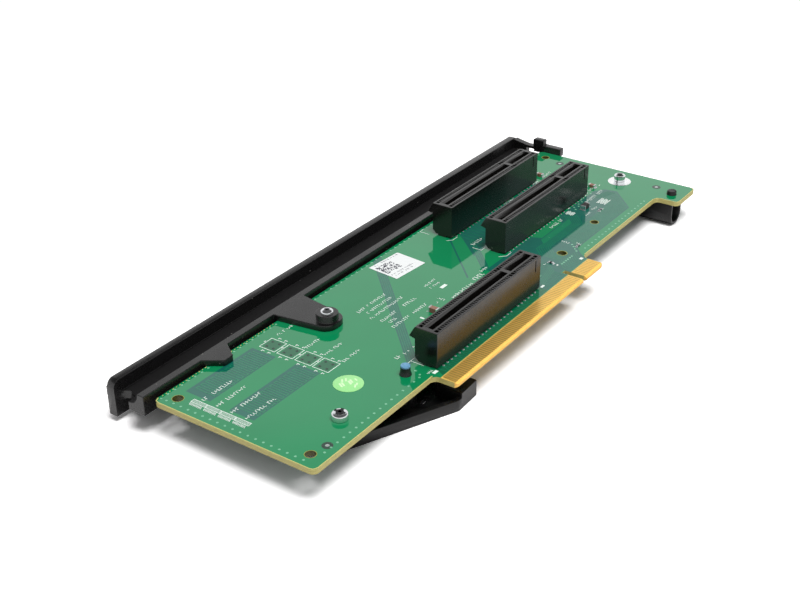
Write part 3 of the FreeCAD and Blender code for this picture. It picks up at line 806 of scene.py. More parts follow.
    def ribbon(self, path: Plan, width: float, low: float, high: float,
               closed: bool = False) -> "Surface":
        """Flat strip along a path: each point moved half the width to both sides, mitred.

        Args:
            path: Plan points.
            width: Width of the strip.
            low: Height of its underside.
            high: Height of its top.
            closed: Joins the last point to the first.

        Returns:
            The surface itself.
        """
        plan = np.asarray(path, float)
        ahead = np.roll(plan, -1, 0) - plan
        if not closed:
            ahead[-1] = ahead[-2]
        ahead /= np.linalg.norm(ahead, axis=1)[:, None]
        behind = np.roll(ahead, 1, 0)
        if not closed:
            behind[0] = ahead[0]
        side = np.c_[-(ahead + behind)[:, 1], (ahead + behind)[:, 0]]
        side /= np.linalg.norm(side, axis=1)[:, None]
        normal = np.c_[-ahead[:, 1], ahead[:, 0]]
        reach = np.clip(np.sum(side * normal, 1), 0.4, 1.0)[:, None]
        left, right = plan + side * width / 2 / reach, plan - side * width / 2 / reach
        count = len(plan)
        points = np.stack([np.c_[right, np.full(count, low)], np.c_[right, np.full(count, high)],
                           np.c_[left, np.full(count, high)], np.c_[left, np.full(count, low)]], 1)
        here = np.arange(count if closed else count - 1)[:, None]
        there = (here + 1) % count
        corner = np.arange(4)[None]
        turn = (corner + 1) % 4
        faces = np.stack([4 * here + corner, 4 * there + corner,
                          4 * there + turn, 4 * here + turn], -1)
        caps = [] if closed else [np.array([[0, 1, 2, 3], [4 * count - 1, 4 * count - 2,
                                                           4 * count - 3, 4 * count - 4]])]
        return self.add(points, faces, *caps)

    def piece(self, name: str, finish: str, slot: str, replaces: Iterable[str] = (),
              smooth: float | None = None) -> bpy.types.Object:
        """Makes the mesh and its object, and lets it ride on the card.

        Args:
            name: Name of the piece.
            finish: Key of its finish in the palette.
            slot: The record's material slot that it belongs to; not used.
            replaces: CAD nodes that it stands for.
            smooth: Shades smoothly over edges flatter than this angle in degrees.

        Returns:
            The new object.
        """
        points = np.concatenate(self.points) * MM + CORNER
        faces = [face for block in self.faces for face in block.tolist()]
        mesh = bpy.data.meshes.new(name)
        mesh.from_pydata(points.tolist(), [], faces)
        mesh.update()
        if smooth is not None:
            mesh.polygons.foreach_set("use_smooth", np.ones(len(faces), bool))
            mesh.set_sharp_from_angle(angle=math.radians(smooth))
        return register(bpy.data.objects.new(name, mesh), finish, replaces)


def register(made: bpy.types.Object, finish: str,
             replaces: Iterable[str] = ()) -> bpy.types.Object:
    """Links a new piece, dresses it and lets it ride on the card.

    Args:
        made: The new object, at the origin.
        finish: Key of its finish in the palette.
        replaces: CAD nodes that it stands for.

    Returns:
        The same object.
    """
    made.data.materials.clear()
    made.data.materials.append(PALETTE[finish])
    bpy.context.scene.collection.objects.link(made)
    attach(made, "root")
    if replaces:
        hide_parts(*replaces)
    LOG.info("%s: %d faces", made.name, len(made.data.polygons))
    return made


def dress(node: str, finish: str) -> None:
    """Gives a CAD node its finish, through its own material slots.

    Args:
        node: Name of the CAD node.
        finish: Key of its finish in the palette.
    """
    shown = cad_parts[node]
    if not shown.material_slots:
        shown.data.materials.append(None)
    for place in shown.material_slots:
        place.material = PALETTE[finish]
    LOG.info("%s: dressed", node)


def curved_faces(mesh: bpy.types.Mesh, least: float = 1.0, most: float = 35.0) -> np.ndarray:
    """Finds the faces that bend gently into a neighbour.

    The bend at an edge is the angle between its two faces' normals, the arc cosine of their
    product.

    Args:
        mesh: The mesh.
        least: Smallest bend in degrees that counts.
        most: Largest bend in degrees that counts.

    Returns:
        One flag for each face.
    """
    normals = np.empty(3 * len(mesh.polygons))
    mesh.polygons.foreach_get("normal", normals)
    normals = normals.reshape(-1, 3)
    counts = np.empty(len(mesh.polygons), int)
    mesh.polygons.foreach_get("loop_total", counts)
    edges = np.empty(len(mesh.loops), int)
    mesh.loops.foreach_get("edge_index", edges)
    order = np.argsort(edges, kind="stable")
    faces = np.repeat(np.arange(len(counts)), counts)[order]
    pair = np.flatnonzero(edges[order][1:] == edges[order][:-1])
    product = np.sum(normals[faces[pair]] * normals[faces[pair + 1]], 1)
    bend = np.degrees(np.arccos(np.clip(product, -1, 1)))
    bent = pair[(bend > least) & (bend < most)]
    curved = np.zeros(len(counts), bool)
    curved[faces[bent]] = True
    curved[faces[bent + 1]] = True
    return curved


def eased_copy(node: str, name: str, finish: str, ease_mm: float,
               angle: float = 35.0) -> bpy.types.Object:
    """Copy of a CAD node with its points merged and its edges eased.

    Args:
        node: The CAD node, which the copy replaces.
        name: Name of the new piece.
        finish: Key of its finish in the palette.
        ease_mm: Width of the eased edges.
        angle: Edges sharper than this angle in degrees are eased.

    Returns:
        The new piece.
    """
    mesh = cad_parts[node].data.copy()
    mesh.name = name
    work = bmesh.new()
    work.from_mesh(mesh)
    bmesh.ops.remove_doubles(work, verts=work.verts, dist=MERGE)
    work.to_mesh(mesh)
    work.free()
    mesh.polygons.foreach_set("use_smooth", curved_faces(mesh))
    made = register(bpy.data.objects.new(name, mesh), finish, (node,))
    bevel = made.modifiers.new("eased_edges", "BEVEL")
    bevel.width = ease_mm * MM
    bevel.segments = 2
    bevel.limit_method = "ANGLE"
    bevel.angle_limit = math.radians(angle)
    bevel.harden_normals = False
    bevel.use_clamp_overlap = False
    bevel.miter_outer = "MITER_ARC"
    return made


# ---------------------------------------------------------------- circuit board
@dataclass
class Artwork:
    """Copper and bare windows under the mask, vias, and the mask's own edges.

    Each hole has its plan centre, its bore and the width of its land. The rail's ear, which no
    via stands under, has the X of its middle, the Y that it starts at and half its length.
    """

    coupons: tuple = ((8.2, 41.6, 35.0, 50.4), (8.0, 26.2, 35.4, 34.7))
    leg_pitch: float = 0.95
    meander_width: float = 0.3
    bus_width: float = 0.22
    lane_width: float = 0.2
    finger_width: float = 0.24
    long_bus: float = 45.3
    short_bus: float = 91.2
    via_squares: tuple = (46.4, 40.0, 33.55, 27.3)
    via_square_x: float = 39.4
    via_square_side: float = 4.5
    tongue_hole: Point = (135.1, 6.5)
    tab_hole: Point = (161.4, 8.6)
    holes: tuple = ((4.9, 5.1, 3.0, 3.3), (4.5, 49.6, 3.1, 3.4), (*tongue_hole, 3.0, 3.5),
                    (*tab_hole, 2.6, 3.1), (201.3, 49.9, 2.6, 3.0))
    hole_sides: int = 40
    fiducials: tuple = ((10.1, 3.9), (199.3, 3.7), (199.2, 42.6))
    finger_fan: tuple = ((53.2, -1.95), (111, -1.95), (111, 0.9), (54.6, 0.9))
    ground_bar: tuple = ((137.5, 14.6), (156.6, 14.6), (158.9, 16.9), (139.8, 16.9))
    loose_vias: tuple = (
        (49.9, 3.4), (50.9, 5.4), (115.2, 6.4), (117.6, 4.6), (142.9, 15.4), (152.4, 15.9),
        (176.2, 21.4), (179.2, 25.2), (181.3, 20.4), (165.5, 21.4), (166.8, 18.6), (168.0, 19.8),
        (169.6, 19.0), (171.2, 19.8), (173.6, 19.8), (175.2, 20.9), (177.4, 21.9), (180.2, 22.6),
        (182.8, 23.4))
    ear: tuple[float, float, float] = (57.4, 50.0, 7.6)
    bare_edge: float = 0.17

    def window_outlines(self) -> list[Plan]:
        """Plan of every area without copper; two that meet at a hole go half round it each.

        Returns:
            The outlines, anticlockwise.
        """
        past_tongue, past_tab = 1.7, 1.5
        return [[(x0, y0), (x1, y0), (x1, y1), (x0, y1)] for x0, y0, x1, y1 in self.coupons] + [
            self._slant(self.long_bus, 2.15, 8.4, 53.6),
            self._slant(81.6, 0.42, 22.5, 42.0),
            self._slant(self.short_bus, 1.7, 20.8, 28.7),
            [(141, 4.1), (161.5, 4.1), *self._half(self.tab_hole, past_tab, -1), (161.5, 20.6),
             (158.8, 20.6), (154.5, 17.3), (141, 17.3)],
            [(161.4, 4.1), (178.4, 4.1), (188.2, 13.6), (187.4, 18.2), (183.6, 20.6),
             (161.4, 20.6), *self._half(self.tab_hole, past_tab, 1)],
            [(111, 0.9), (111, -1.9), (123.1, -1.9), (123.1, 0.3), (125.1, 0.3), (125.1, -1.9),
             (135.2, -1.9), *self._half(self.tongue_hole, past_tongue, -1), (135.2, 20.6),
             (111.6, 20.6), (111.6, 8.9)],
            [(135.1, -1.9), (135.9, -1.9), (138, 1.2), (141.1, 4.1), (141.1, 17.3),
             (139.6, 20.6), (135.1, 20.6), *self._half(self.tongue_hole, past_tongue, 1)],
            [(117.6, 28.9), (179.4, 28.9), (179.4, 41.2), (128.4, 41.2)],
        ]

    def windows(self) -> None:
        """Areas without copper, where the laminate shows darker through the mask."""
        squares, ground = Surface(), Surface()
        for y in self.via_squares:
            squares.bars(np.array([[self.via_square_x, y]]), np.full(2, self.via_square_side),
                         *WINDOW)
        squares.piece("test_squares", "pool", "solder_mask")
        Surface().prism(self.finger_fan, *WINDOW).piece("finger_fan_ground", "pool",
                                                        "solder_mask")
        for level, outline in enumerate(self.window_outlines()):
            ground.prism(outline, WINDOW[0], WINDOW[1] + LEVEL * level)
        ground.piece("laminate_windows", "window", "solder_mask")

    def _slant(self, offset: float, half: float, y0: float, y1: float) -> Plan:
        """Band at 45 degrees, whose X less Y stays within half of the offset."""
        return [(y0 + offset - half, y0), (y0 + offset + half, y0),
                (y1 + offset + half, y1), (y1 + offset - half, y1)]

    def _half(self, centre: Point, radius: float, side: int) -> Plan:
        """Half circle: the radius times the cosine and sine of an angle, from the centre.

        Args:
            centre: Plan centre.
            radius: Its radius.
            side: 1 for the right half, drawn down; -1 for the left half, drawn up.

        Returns:
            The points.
        """
        angle = np.radians(np.linspace(-90, 90, 17))
        return [(centre[0] + side * radius * math.cos(part), centre[1] + radius * math.sin(part))
                for part in (angle if side < 0 else angle[::-1])]

    def serpentine(self, x0: float, y0: float, x1: float, y1: float) -> np.ndarray:
        """Meander with upright legs: X steps every second point, and Y swaps ends in pairs.

        Args:
            x0: Left end.
            y0: Lower end of the legs.
            x1: Right end.
            y1: Upper end of the legs.

        Returns:
            Its plan points.
        """
        legs = int((x1 - x0) / self.leg_pitch)
        x = x1 - self.leg_pitch * np.repeat(np.arange(legs), 2)
        y = np.where(np.isin(np.arange(2 * legs) % 4, (1, 2)), y0, y1)
        return np.c_[x, y]

    def straight_tracks(self, copper: Surface) -> None:
        """Meanders of the coupons, and the two buses at 45 degrees.

        Args:
            copper: Surface that takes the tracks.
        """
        for x0, y0, x1, y1 in self.coupons:
            copper.ribbon(self.serpentine(x0 + 1.0, y0 + 0.5, x1 - 1.4, y1 - 1.3),
                          self.meander_width, *COPPER)
        for offset, low, high, shifts in (
                (self.long_bus, 8.6, 53.4, (-1.35, -0.45, 0.45, 1.35)),
                (self.short_bus, 20.4, 35.8, (-0.9, 0.0, 0.9))):
            for shift in shifts:
                x = offset + shift
                copper.ribbon([(low + x, low), (high + x, high)], self.bus_width, *COPPER)

    def tab_lanes(self, copper: Surface) -> None:
        """Lanes past the tab's hole, each broken where it would cross the hole's clearance.

        Args:
            copper: Surface that takes the tracks.
        """
        hole_x, hole_y = self.tab_hole
        clearance = 1.9
        for lane in range(13):
            rise, turn_x, climb = 4.75 + 0.52 * lane, 178.1 - 0.22 * lane, 8.6 - 0.35 * lane
            gap = math.sqrt(max(0.0, clearance ** 2 - (rise - hole_y) ** 2))
            copper.ribbon([(142.0 + 0.3 * lane, rise), (hole_x - gap, rise)],
                          self.lane_width, *COPPER)
            copper.ribbon([(hole_x + gap, rise), (turn_x, rise), (turn_x + climb, rise + climb),
                           (turn_x + climb - 0.4, rise + climb + 3.2)], self.lane_width, *COPPER)

    def deep_lanes(self, under: Surface) -> None:
        """Lanes beside the tongue's hole, under the others and one inside the next.

        Args:
            under: Surface that takes the tracks.
        """
        for lane in range(7):
            rise, near, far = 11.9 + 0.5 * lane, 133.8 - 0.6 * lane, 158.6 - 0.5 * lane
            under.ribbon([(near, 4.8), (near, rise - 3.2), (near + 3.2, rise), (far, rise),
                          (far + 4.4, rise + 4.4)], self.lane_width, *DEEP)

    def finger_tracks(self, copper: Surface, under: Surface) -> None:
        """Tracks from the tongue's contacts: short tails, then two fans past the key notch.

        Args:
            copper: Surface that takes the tracks.
            under: Surface that takes the deeper ones.
        """
        for start in np.arange(55.5, 110.6, CONTACT_PITCH):
            bend = 0.35 * math.sin(2.7 * start)
            copper.ribbon([(start, -1.9), (start, -0.9), (start + bend, -0.3),
                           (start + bend, 0.8)], self.finger_width, *COPPER)
        for step in range(11):
            start, climb = 112.4 + step, 0.2 * step
            copper.ribbon([(start, -1.8), (start, 0.4 + climb), (start + 3.2, 3.6 + climb),
                           (start + 3.2, 8.4)], self.lane_width, *COPPER)
        for step in range(10):
            start, climb = 126.2 + step, 0.1 * step
            under.ribbon([(start, -1.8), (start, 1.0 - climb), (start + 3.4, 4.4 - climb)],
                         self.lane_width, DEEP[0], DEEP[1] - 0.0015)

    def slot_lanes(self, copper: Surface) -> None:
        """Lanes across the board between the first two slots."""
        for start in 126.0 + 2.0 * np.arange(26):
            copper.ribbon([(start, 29.2), (start, 33.0), (start + 1.1, 34.1),
                           (start + 1.1, 40.9)], self.lane_width, *COPPER)

    def traces(self) -> None:
        """Copper tracks under the mask, in two depths."""
        copper, under = Surface(), Surface()
        self.straight_tracks(copper)
        self.tab_lanes(copper)
        self.deep_lanes(under)
        copper.prism(self.ground_bar, COPPER[0], COPPER[1] + 0.004)
        self.finger_tracks(copper, under)
        self.slot_lanes(copper)
        copper.piece("copper_tracks", "trace", "solder_mask")
        under.piece("lower_tracks", "trace", "solder_mask")

    def _row(self, start: Point, step: Point, count: int) -> np.ndarray:
        """Points in a row: the start plus whole steps."""
        return np.array(start) + np.array(step) * np.arange(count)[:, None]

    def vias(self) -> None:
        """Stitching vias round the board and a few loose ones, and those of the test squares."""
        plan = np.concatenate([
            self._row((2.1, 5.0), (0, 2.58), 19), self._row((7.4, 2.65), (2.58, 0), 17),
            self._row((142.4, 2.1), (2.42, 0), 19), self._row((2.0, 53.3), (2.6, 0), 78),
            self._row((139.0, 3.4), (1.1, 1.1), 4), self._row((128.5, 2.9), (1.3, 0), 6),
            np.array(self.loose_vias)])
        middle, edge, half = self.ear
        plan = plan[~((plan[:, 1] > edge) & (np.abs(plan[:, 0] - middle) < half))]
        Surface().turned([(0, 0.0), (0.36, 0.0), (0.36, 0.02), (0.22, 0.035), (0.1, 0.02),
                          (0, 0.02)], plan, 10).piece("stitching_vias", "via", "solder_mask",
                                                      smooth=40)
        corners = np.array([[-1.35, 1.2], [1.35, 1.25], [-1.35, -1.25], [1.35, -1.2]])
        plan = np.concatenate([corners + (self.via_square_x, y) for y in self.via_squares])
        Surface().turned([(0, 0.0), (0.4, 0.0), (0.4, 0.035), (0.25, 0.035), (0.18, 0.015),
                          (0, 0.015)], plan, 14).piece("test_vias", "dark", "solder_mask")

    def rims(self) -> None:
        """Laminate left bare along the board's edge and round its tooling holes."""
        edge = Surface()
        inset = self.bare_edge
        left, right = inset, BOARD_LENGTH - inset
        tab = 191.1 + inset
        edge.ribbon([(51.2, inset), (1.8, inset), (0.9, 0.45), (0.4, 0.9), (left, 1.8),
                     (left, 52.5), (0.5, 53.6), (1.8, BOARD_WIDTH - inset)],
                    2 * inset - 0.06, *BARE)
        edge.ribbon([(right, -6.5), (205.2, -7.7), (203.9, -8.3 + inset), (192.9, -8.3 + inset),
                     (191.7, -7.7), (tab, -6.5), (tab, -1.9), (190.7, -0.5), (189.1, inset),
                     (138.4, inset)], 2 * inset - 0.06, *BARE)
        x = 3.2 + 1.29 * np.arange(36)
        dashes = np.c_[x, 53.95 + 0.12 * np.sin(5.1 * x)]
        sizes = np.c_[0.35 + 0.3 * np.sin(3.7 * x) ** 2, np.full(len(x), 0.22)]
        edge.bars(dashes, sizes, *BARE, 12.0)
        edge.piece("bare_rims", "laminate", "board_laminate")
        barrels, lands = Surface(), Surface()
        for x, y, bore, land in self.holes:
            radius, place = bore / 2, np.array([[x, y]])
            barrels.turned([(radius - 0.05, -BOARD_THICK), (radius, -BOARD_THICK),
                            (radius, -0.05), (radius, 0.015), (radius - 0.05, 0.0)],
                           place, self.hole_sides, ring=True)
            lands.turned([(radius, 0.0), (land / 2, 0.0), (land / 2, 0.02), (radius, 0.02)],
                         place, self.hole_sides, ring=True)
        barrels.piece("hole_barrels", "hole", "board_laminate", smooth=40)
        lands.piece("hole_lands", "land", "board_laminate")

    def fiducial_marks(self) -> None:
        """Bright dots in dark rings, for the placing machine."""
        centres = np.array(self.fiducials)
        Surface().turned([(0.62, 0.0), (1.5, 0.0), (1.5, 0.02), (0.62, 0.02)], centres, 36,
                         ring=True).piece("fiducial_rings", "dark", "solder_mask")
        Surface().turned([(0, 0.0), (0.55, 0.0), (0.55, 0.03), (0.45, 0.04), (0, 0.04)], centres,
                         28).piece("fiducial_dots", "tin", "tin", smooth=30)

    def standoff_pad(self) -> None:
        """Tinned ring under the standoff."""
        Surface().turned([(2.0, 0.0), (4.1, 0.0), (4.05, 0.05), (2.0, 0.06)],
                         plan_centre("standoff"), 64, ring=True).piece(
            "standoff_ring", "pad", "tin", smooth=30)

    def build(self) -> None:
        """The whole artwork and the board's own finish."""
        dress("circuit_board", "board")
        dress("edge_contacts_component_side", "gold")
        dress("edge_contacts_solder_side", "gold")
        self.windows()
        self.traces()
        self.vias()
        self.rims()
        self.fiducial_marks()
        self.standoff_pad()


@dataclass
class Printing:
    """White printed marks: outlines, filled blocks and lines of plain strokes.

    A row has its start, its end, its Y and its height, and a column its X, its start, its end
    and its height.
    """

    line: float = 0.2
    rows: tuple = (
        (7.4, 19.2, 43.6, 1.25), (7.4, 19.2, 38.6, 1.25), (7.3, 19.6, 33.4, 1.25),
        (7.3, 19.6, 28.4, 1.25), (43.4, 51.2, 49.0, 1.1), (43.4, 50.2, 37.7, 1.1),
        (43.4, 52.0, 31.1, 1.1), (43.4, 52.2, 24.7, 1.1), (67.5, 82.0, 37.7, 1.2),
        (68.8, 81.4, 35.1, 1.1), (66.6, 83.4, 32.4, 1.1), (66.2, 75.4, 28.9, 1.2),
        (78.4, 86.0, 28.8, 1.3), (66.3, 72.2, 26.6, 1.1), (66.3, 75.2, 24.1, 1.2),
        (76.4, 84.0, 24.0, 1.3), (91.0, 98.6, 30.4, 1.1), (91.8, 97.6, 28.3, 1.1),
        (51.8, 55.4, 13.5, 1.3), (56.2, 61.6, 13.0, 1.1), (90.7, 103.2, 19.5, 1.5),
        (103.9, 109.4, 20.3, 1.7), (109.8, 113.6, 21.4, 1.2), (51.3, 54.2, 1.9, 0.8),
        (149.2, 158.2, 18.7, 1.3), (164.2, 168.2, 13.3, 1.1), (169.6, 174.2, 13.7, 1.1),
        (169.4, 173.4, 11.1, 1.1), (174.2, 187.0, 18.4, 1.3), (182.4, 190.4, 22.2, 1.1),
        (176.6, 181.4, 41.3, 1.3), (186.2, 190.6, 41.6, 1.1), (124.0, 131.0, 33.6, 1.3),
        (157.6, 163.0, 40.8, 1.2))
    columns: tuple = (
        (85.6, 20.4, 23.8, 1.1), (88.2, 20.6, 23.8, 1.1), (142.6, 8.0, 11.8, 1.0),
        (144.2, 4.4, 7.0, 0.9), (125.2, 7.0, 8.4, 0.9))
    codes: tuple = ((161.5, 17.1, 164.5, 20.3), (175.4, 12.0, 180.4, 15.6))
    code_pitch: float = 0.5
    ticks: tuple = (
        (166.2, 20.9), (170.4, 18.2), (172.4, 18.6), (178.6, 21.0), (180.8, 21.6), (183.6, 24.6),
        (188.9, 23.9), (189.4, 21.2), (183.0, 44.6), (187.2, 44.4))
    blocks: tuple = (
        (93.9, 25.1, 96.7, 26.3), (52.4, 0.1, 54.2, 1.1), (111.2, 0.2, 113.0, 1.0),
        (134.4, -0.9, 135.8, 0.1), (75.2, 19.4, 75.9, 20.8), (126.6, 3.4, 127.3, 4.0))
    corners: tuple = (
        (122.6, 49.5, 122.6, 53.2, 125.0, 53.2), (121.8, 42.2, 123.4, 40.7, 126.2, 40.7),
        (122.4, 32.4, 122.4, 29.0, 124.6, 29.0), (121.6, 22.0, 123.4, 20.2, 126.4, 20.2),
        (51.2, 9.4, 56.2, 9.4), (54.2, 5.0, 54.2, 9.4))
    box_pitch: float = 5.06
    box_rungs: int = 10
    rng: np.random.Generator = field(default_factory=lambda: np.random.default_rng(23))

    def strokes(self, start: float, end: float, height: float) -> tuple[np.ndarray, np.ndarray]:
        """Upright and level strokes along a line, in words of a few marks.

        Every cell holds one upright of random height and one short level stroke beside it,
        and about one cell in six stays empty.

        Args:
            start: Where the line starts.
            end: Where it ends.
            height: Height of the tallest stroke.

        Returns:
            Centres and sizes of the strokes, along the line and across it.
        """
        cell = 0.78 * height
        along = np.arange(start + cell / 2, end - cell / 2 + 1e-6, cell)
        along = along[self.rng.random(len(along)) > 0.16]
        tall = height * self.rng.choice([1.0, 0.8, 0.55], len(along))
        lift = self.rng.choice([-0.4, 0.0, 0.4], len(along)) * height
        same = np.ones(len(along))
        centres = np.concatenate([np.c_[along - 0.26 * cell, 0 * same],
                                  np.c_[along + 0.16 * cell, lift]])
        sizes = np.concatenate([np.c_[0.17 * height * same, tall],
                                np.c_[0.46 * cell * same, 0.15 * height * same]])
        return centres, sizes

    def text(self, ink: Surface) -> None:
        """Rows and columns of strokes.

        Args:
            ink: Surface that takes them.
        """
        for start, end, y, height in self.rows:
            centres, sizes = self.strokes(start, end, height)
            ink.bars(centres + (0, y), sizes, *INK)
        for x, start, end, height in self.columns:
            centres, sizes = self.strokes(start, end, height)
            ink.bars(centres[:, ::-1] * (-1, 1) + (x, 0), sizes[:, ::-1], *INK)

    def marks(self, ink: Surface) -> None:
        """Filled blocks, striped codes, short ticks and the slots' corner lines.

        Args:
            ink: Surface that takes them.
        """
        for x0, y0, x1, y1 in self.blocks:
            ink.blocks(np.array([x0, y0, INK[0]]), np.array([x1, y1, INK[1]]))
        for x0, y0, x1, y1 in self.codes:
            rungs = np.arange(y0 + 0.2, y1, self.code_pitch)
            widths = (x1 - x0) * (0.82 + 0.18 * np.sin(4.3 * rungs))
            ink.bars(np.c_[np.full(len(rungs), (x0 + x1) / 2), rungs],
                     np.c_[widths, np.full(len(rungs), 0.3)], *INK)
        ink.bars(np.array(self.ticks), np.array([0.95, 0.3]), *INK)
        for corner in self.corners:
            ink.ribbon(np.reshape(corner, (-1, 2)), self.line, *INK)

    def build(self) -> None:
        """All printing on the component side, as one piece."""
        ink = Surface()
        self.text(ink)
        self.marks(ink)
        self.via_squares(ink)
        self.test_boxes(ink)
        ink.piece("board_printing", "ink", "printing_ink")

    def outline(self, ink: Surface, x0: float, y0: float, x1: float, y1: float) -> None:
        """Thin rectangle between two opposite corners."""
        ink.ribbon([(x0, y0), (x1, y0), (x1, y1), (x0, y1)], self.line, *INK, closed=True)

    def via_squares(self, ink: Surface) -> None:
        """Outline of each test square, with its corner marks.

        Args:
            ink: Surface that takes them.
        """
        x = Artwork.via_square_x
        marks = np.array([[-3.9, 0.8], [-3.9, -1.5], [3.7, 0.9], [3.7, -1.4], [0.3, 3.3]])
        for y in Artwork.via_squares:
            self.outline(ink, x - 2.7, y - 2.75, x + 2.7, y + 2.75)
            ink.bars(marks + (x, y), np.array([0.75, 0.28]), *INK)
            ink.bars(marks + (x + 0.1, y - 0.4), np.array([0.25, 0.75]), *INK)

    def test_boxes(self, ink: Surface) -> None:
        """Row of four ruled boxes beside the coupons.

        Args:
            ink: Surface that takes them.
        """
        for step in range(4):
            y0 = 25.8 + self.box_pitch * step
            self.outline(ink, 5.35, y0, 6.65, y0 + 4.75)
            rungs = y0 + 0.45 + 0.43 * np.arange(self.box_rungs)
            for x, size, turn in ((6.0, (1.0, 0.14), -20.0), (4.55, (1.2, 0.16), 24.0)):
                ink.bars(np.c_[np.full(len(rungs), x), rungs], np.array(size), *INK, turn)
            ink.bars(np.array([[4.5, y0 + 2.4]]), np.array([0.2, 4.3]), *INK)


# ---------------------------------------------------------------- connectors
@dataclass
class SlotConnector:
    """One slot: eased housing, the ribs between its cells, springs, and its soldered tails."""

    number: int
    width: float = 7.4
    height: float = 11.2
    key: float = 41.5
    near: int = 38
    far: int = 11
    from_key: float = 1.5
    rim: float = 0.6
    row: float = 1.1
    trough: float = 1.2
    rib: float = 0.42
    rib_drop: float = 0.12
    ease: float = 0.09
    inner_pins: float = 1.72
    outer_pins: float = 3.72

    def __post_init__(self) -> None:
        """Reads the housing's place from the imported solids."""
        low, _ = in_board(f"slot_housing_{self.number}")
        self.x, self.y = low[0], low[1]

    def contacts(self) -> tuple[np.ndarray, np.ndarray]:
        """Places the contacts on both sides of the key, from it outwards by the pitch.

        Returns:
            X of those in the near part of a row, and of those in its far part.
        """
        near = self.x + self.key - self.from_key - CONTACT_PITCH * np.arange(self.near)
        far = self.x + self.key + self.from_key + CONTACT_PITCH * np.arange(self.far)
        return near[::-1], far

    def ribs(self) -> None:
        """Thin walls between neighbouring contact cells, set into both troughs."""
        wall = Surface()
        low, high = self.height - self.trough, self.height - self.rib_drop
        for part in self.contacts():
            middle = (part[1:] + part[:-1]) / 2
            for side in (self.rim, self.width - self.rim - self.row):
                y0 = np.full(len(middle), self.y + side)
                wall.blocks(np.c_[middle - self.rib / 2, y0, np.full(len(middle), low)],
                            np.c_[middle + self.rib / 2, y0 + self.row, np.full(len(middle), high)])
        wall.piece(f"slot_ribs_{self.number}", "connector", "connector_plastic")

    def tails(self) -> None:
        """Soldered tails: a cone of solder under the board at each pin, and its rim on top."""
        every = np.concatenate(self.contacts())
        even, odd = every[::2], every[1::2]
        middle = self.y + self.width / 2
        rows = ((even, -self.outer_pins), (odd, -self.inner_pins),
                (odd, self.inner_pins), (even, self.outer_pins))
        plan = np.concatenate([np.c_[row, np.full(len(row), middle + offset)]
                               for row, offset in rows])
        under = -BOARD_THICK
        joints = Surface()
        joints.turned([(0, under - 1.15), (0.2, under - 1.1), (0.24, under - 0.75),
                       (0.4, under - 0.35), (0.68, under - 0.04), (0.7, under + 0.01),
                       (0, under + 0.01)], plan, 10)
        outer = plan[np.abs(plan[:, 1] - middle) > 3]
        joints.turned([(0, -0.01), (0.4, -0.01), (0.4, 0.03), (0.28, 0.14), (0, 0.2)], outer, 12)
        joints.piece(f"slot_solder_{self.number}", "tin", "tin", smooth=50)

    def build(self) -> None:
        """The whole connector."""
        eased_copy(f"slot_housing_{self.number}", f"slot_body_{self.number}", "connector",
                   self.ease)
        dress(f"slot_contacts_{self.number}", "spring")
        self.ribs()
        self.tails()


# ---------------------------------------------------------------- rail and guides
@dataclass
class HandleRail:
    """The rail with its eased edges, and the screw in its large ear."""

    ease: float = 0.16
    head: float = 1.95
    head_height: float = 0.9
    chamfer: float = 0.5
    tolerance: float = 0.02

    def square_end(self, mesh: bpy.types.Mesh) -> None:
        """Moves the near end's chamfered corner out to the back face.

        Args:
            mesh: Mesh of the rail.
        """
        low, high = in_board("handle_rail")
        places = np.empty(3 * len(mesh.vertices), np.float32)
        mesh.vertices.foreach_get("co", places)
        plan = (places.reshape(-1, 3) - CORNER) / MM
        at_end = plan[:, 0] < low[0] + self.tolerance
        at_chamfer = np.abs(plan[:, 1] - high[1] + self.chamfer) < self.tolerance
        corner = at_end & at_chamfer & (plan[:, 2] < 0.5)
        places.reshape(-1, 3)[corner, 1] += self.chamfer * MM
        mesh.vertices.foreach_set("co", places)
        mesh.update()

    def screw(self) -> None:
        """Domed head with a cross recess, on its shank: the dome follows a quarter ellipse.
        The recess is filled with a dark disc and cross as painted shade.
        """
        low, high = in_board("rail_screw")
        centre = plan_centre("rail_screw")
        top, seat = high[2], high[2] - self.head_height
        steps = np.radians(np.linspace(0, 88, 9))
        dome = np.c_[self.head * np.cos(steps), seat + 0.25 + 0.85 * np.sin(steps)]
        dome = dome[dome[:, 0] > 0.75]
        Surface().turned([(0, low[2]), (1.15, low[2]), (1.2, low[2] + 0.1), (1.2, seat),
                          (self.head, seat), *map(tuple, dome), (0.72, top - 0.1),
                          (0.5, top - 0.45), (0, top - 0.6)], centre, 48).piece(
            "rail_screw_head", "chrome", "screw_metal", ("rail_screw",), smooth=38)
        # dark disc and cross in the recess: painted shade of its unlit inside
        cross = Surface().turned([(0, top - 0.5), (0.62, top - 0.5), (0.66, top - 0.02),
                                  (0, top - 0.02)], centre, 24)
        for turn in (20.0, 110.0):
            cross.bars(centre, np.array([2.2, 0.5]), top - 0.3, top + 0.01, turn)
        cross.piece("rail_screw_recess_shade", "recess", "screw_metal")

    def build(self) -> None:
        """The rail, its screw and its nut."""
        body = eased_copy("handle_rail", "handle_rail_body", "rail", self.ease)
        self.square_end(body.data)
        self.screw()
        dress("rail_nut", "nut")


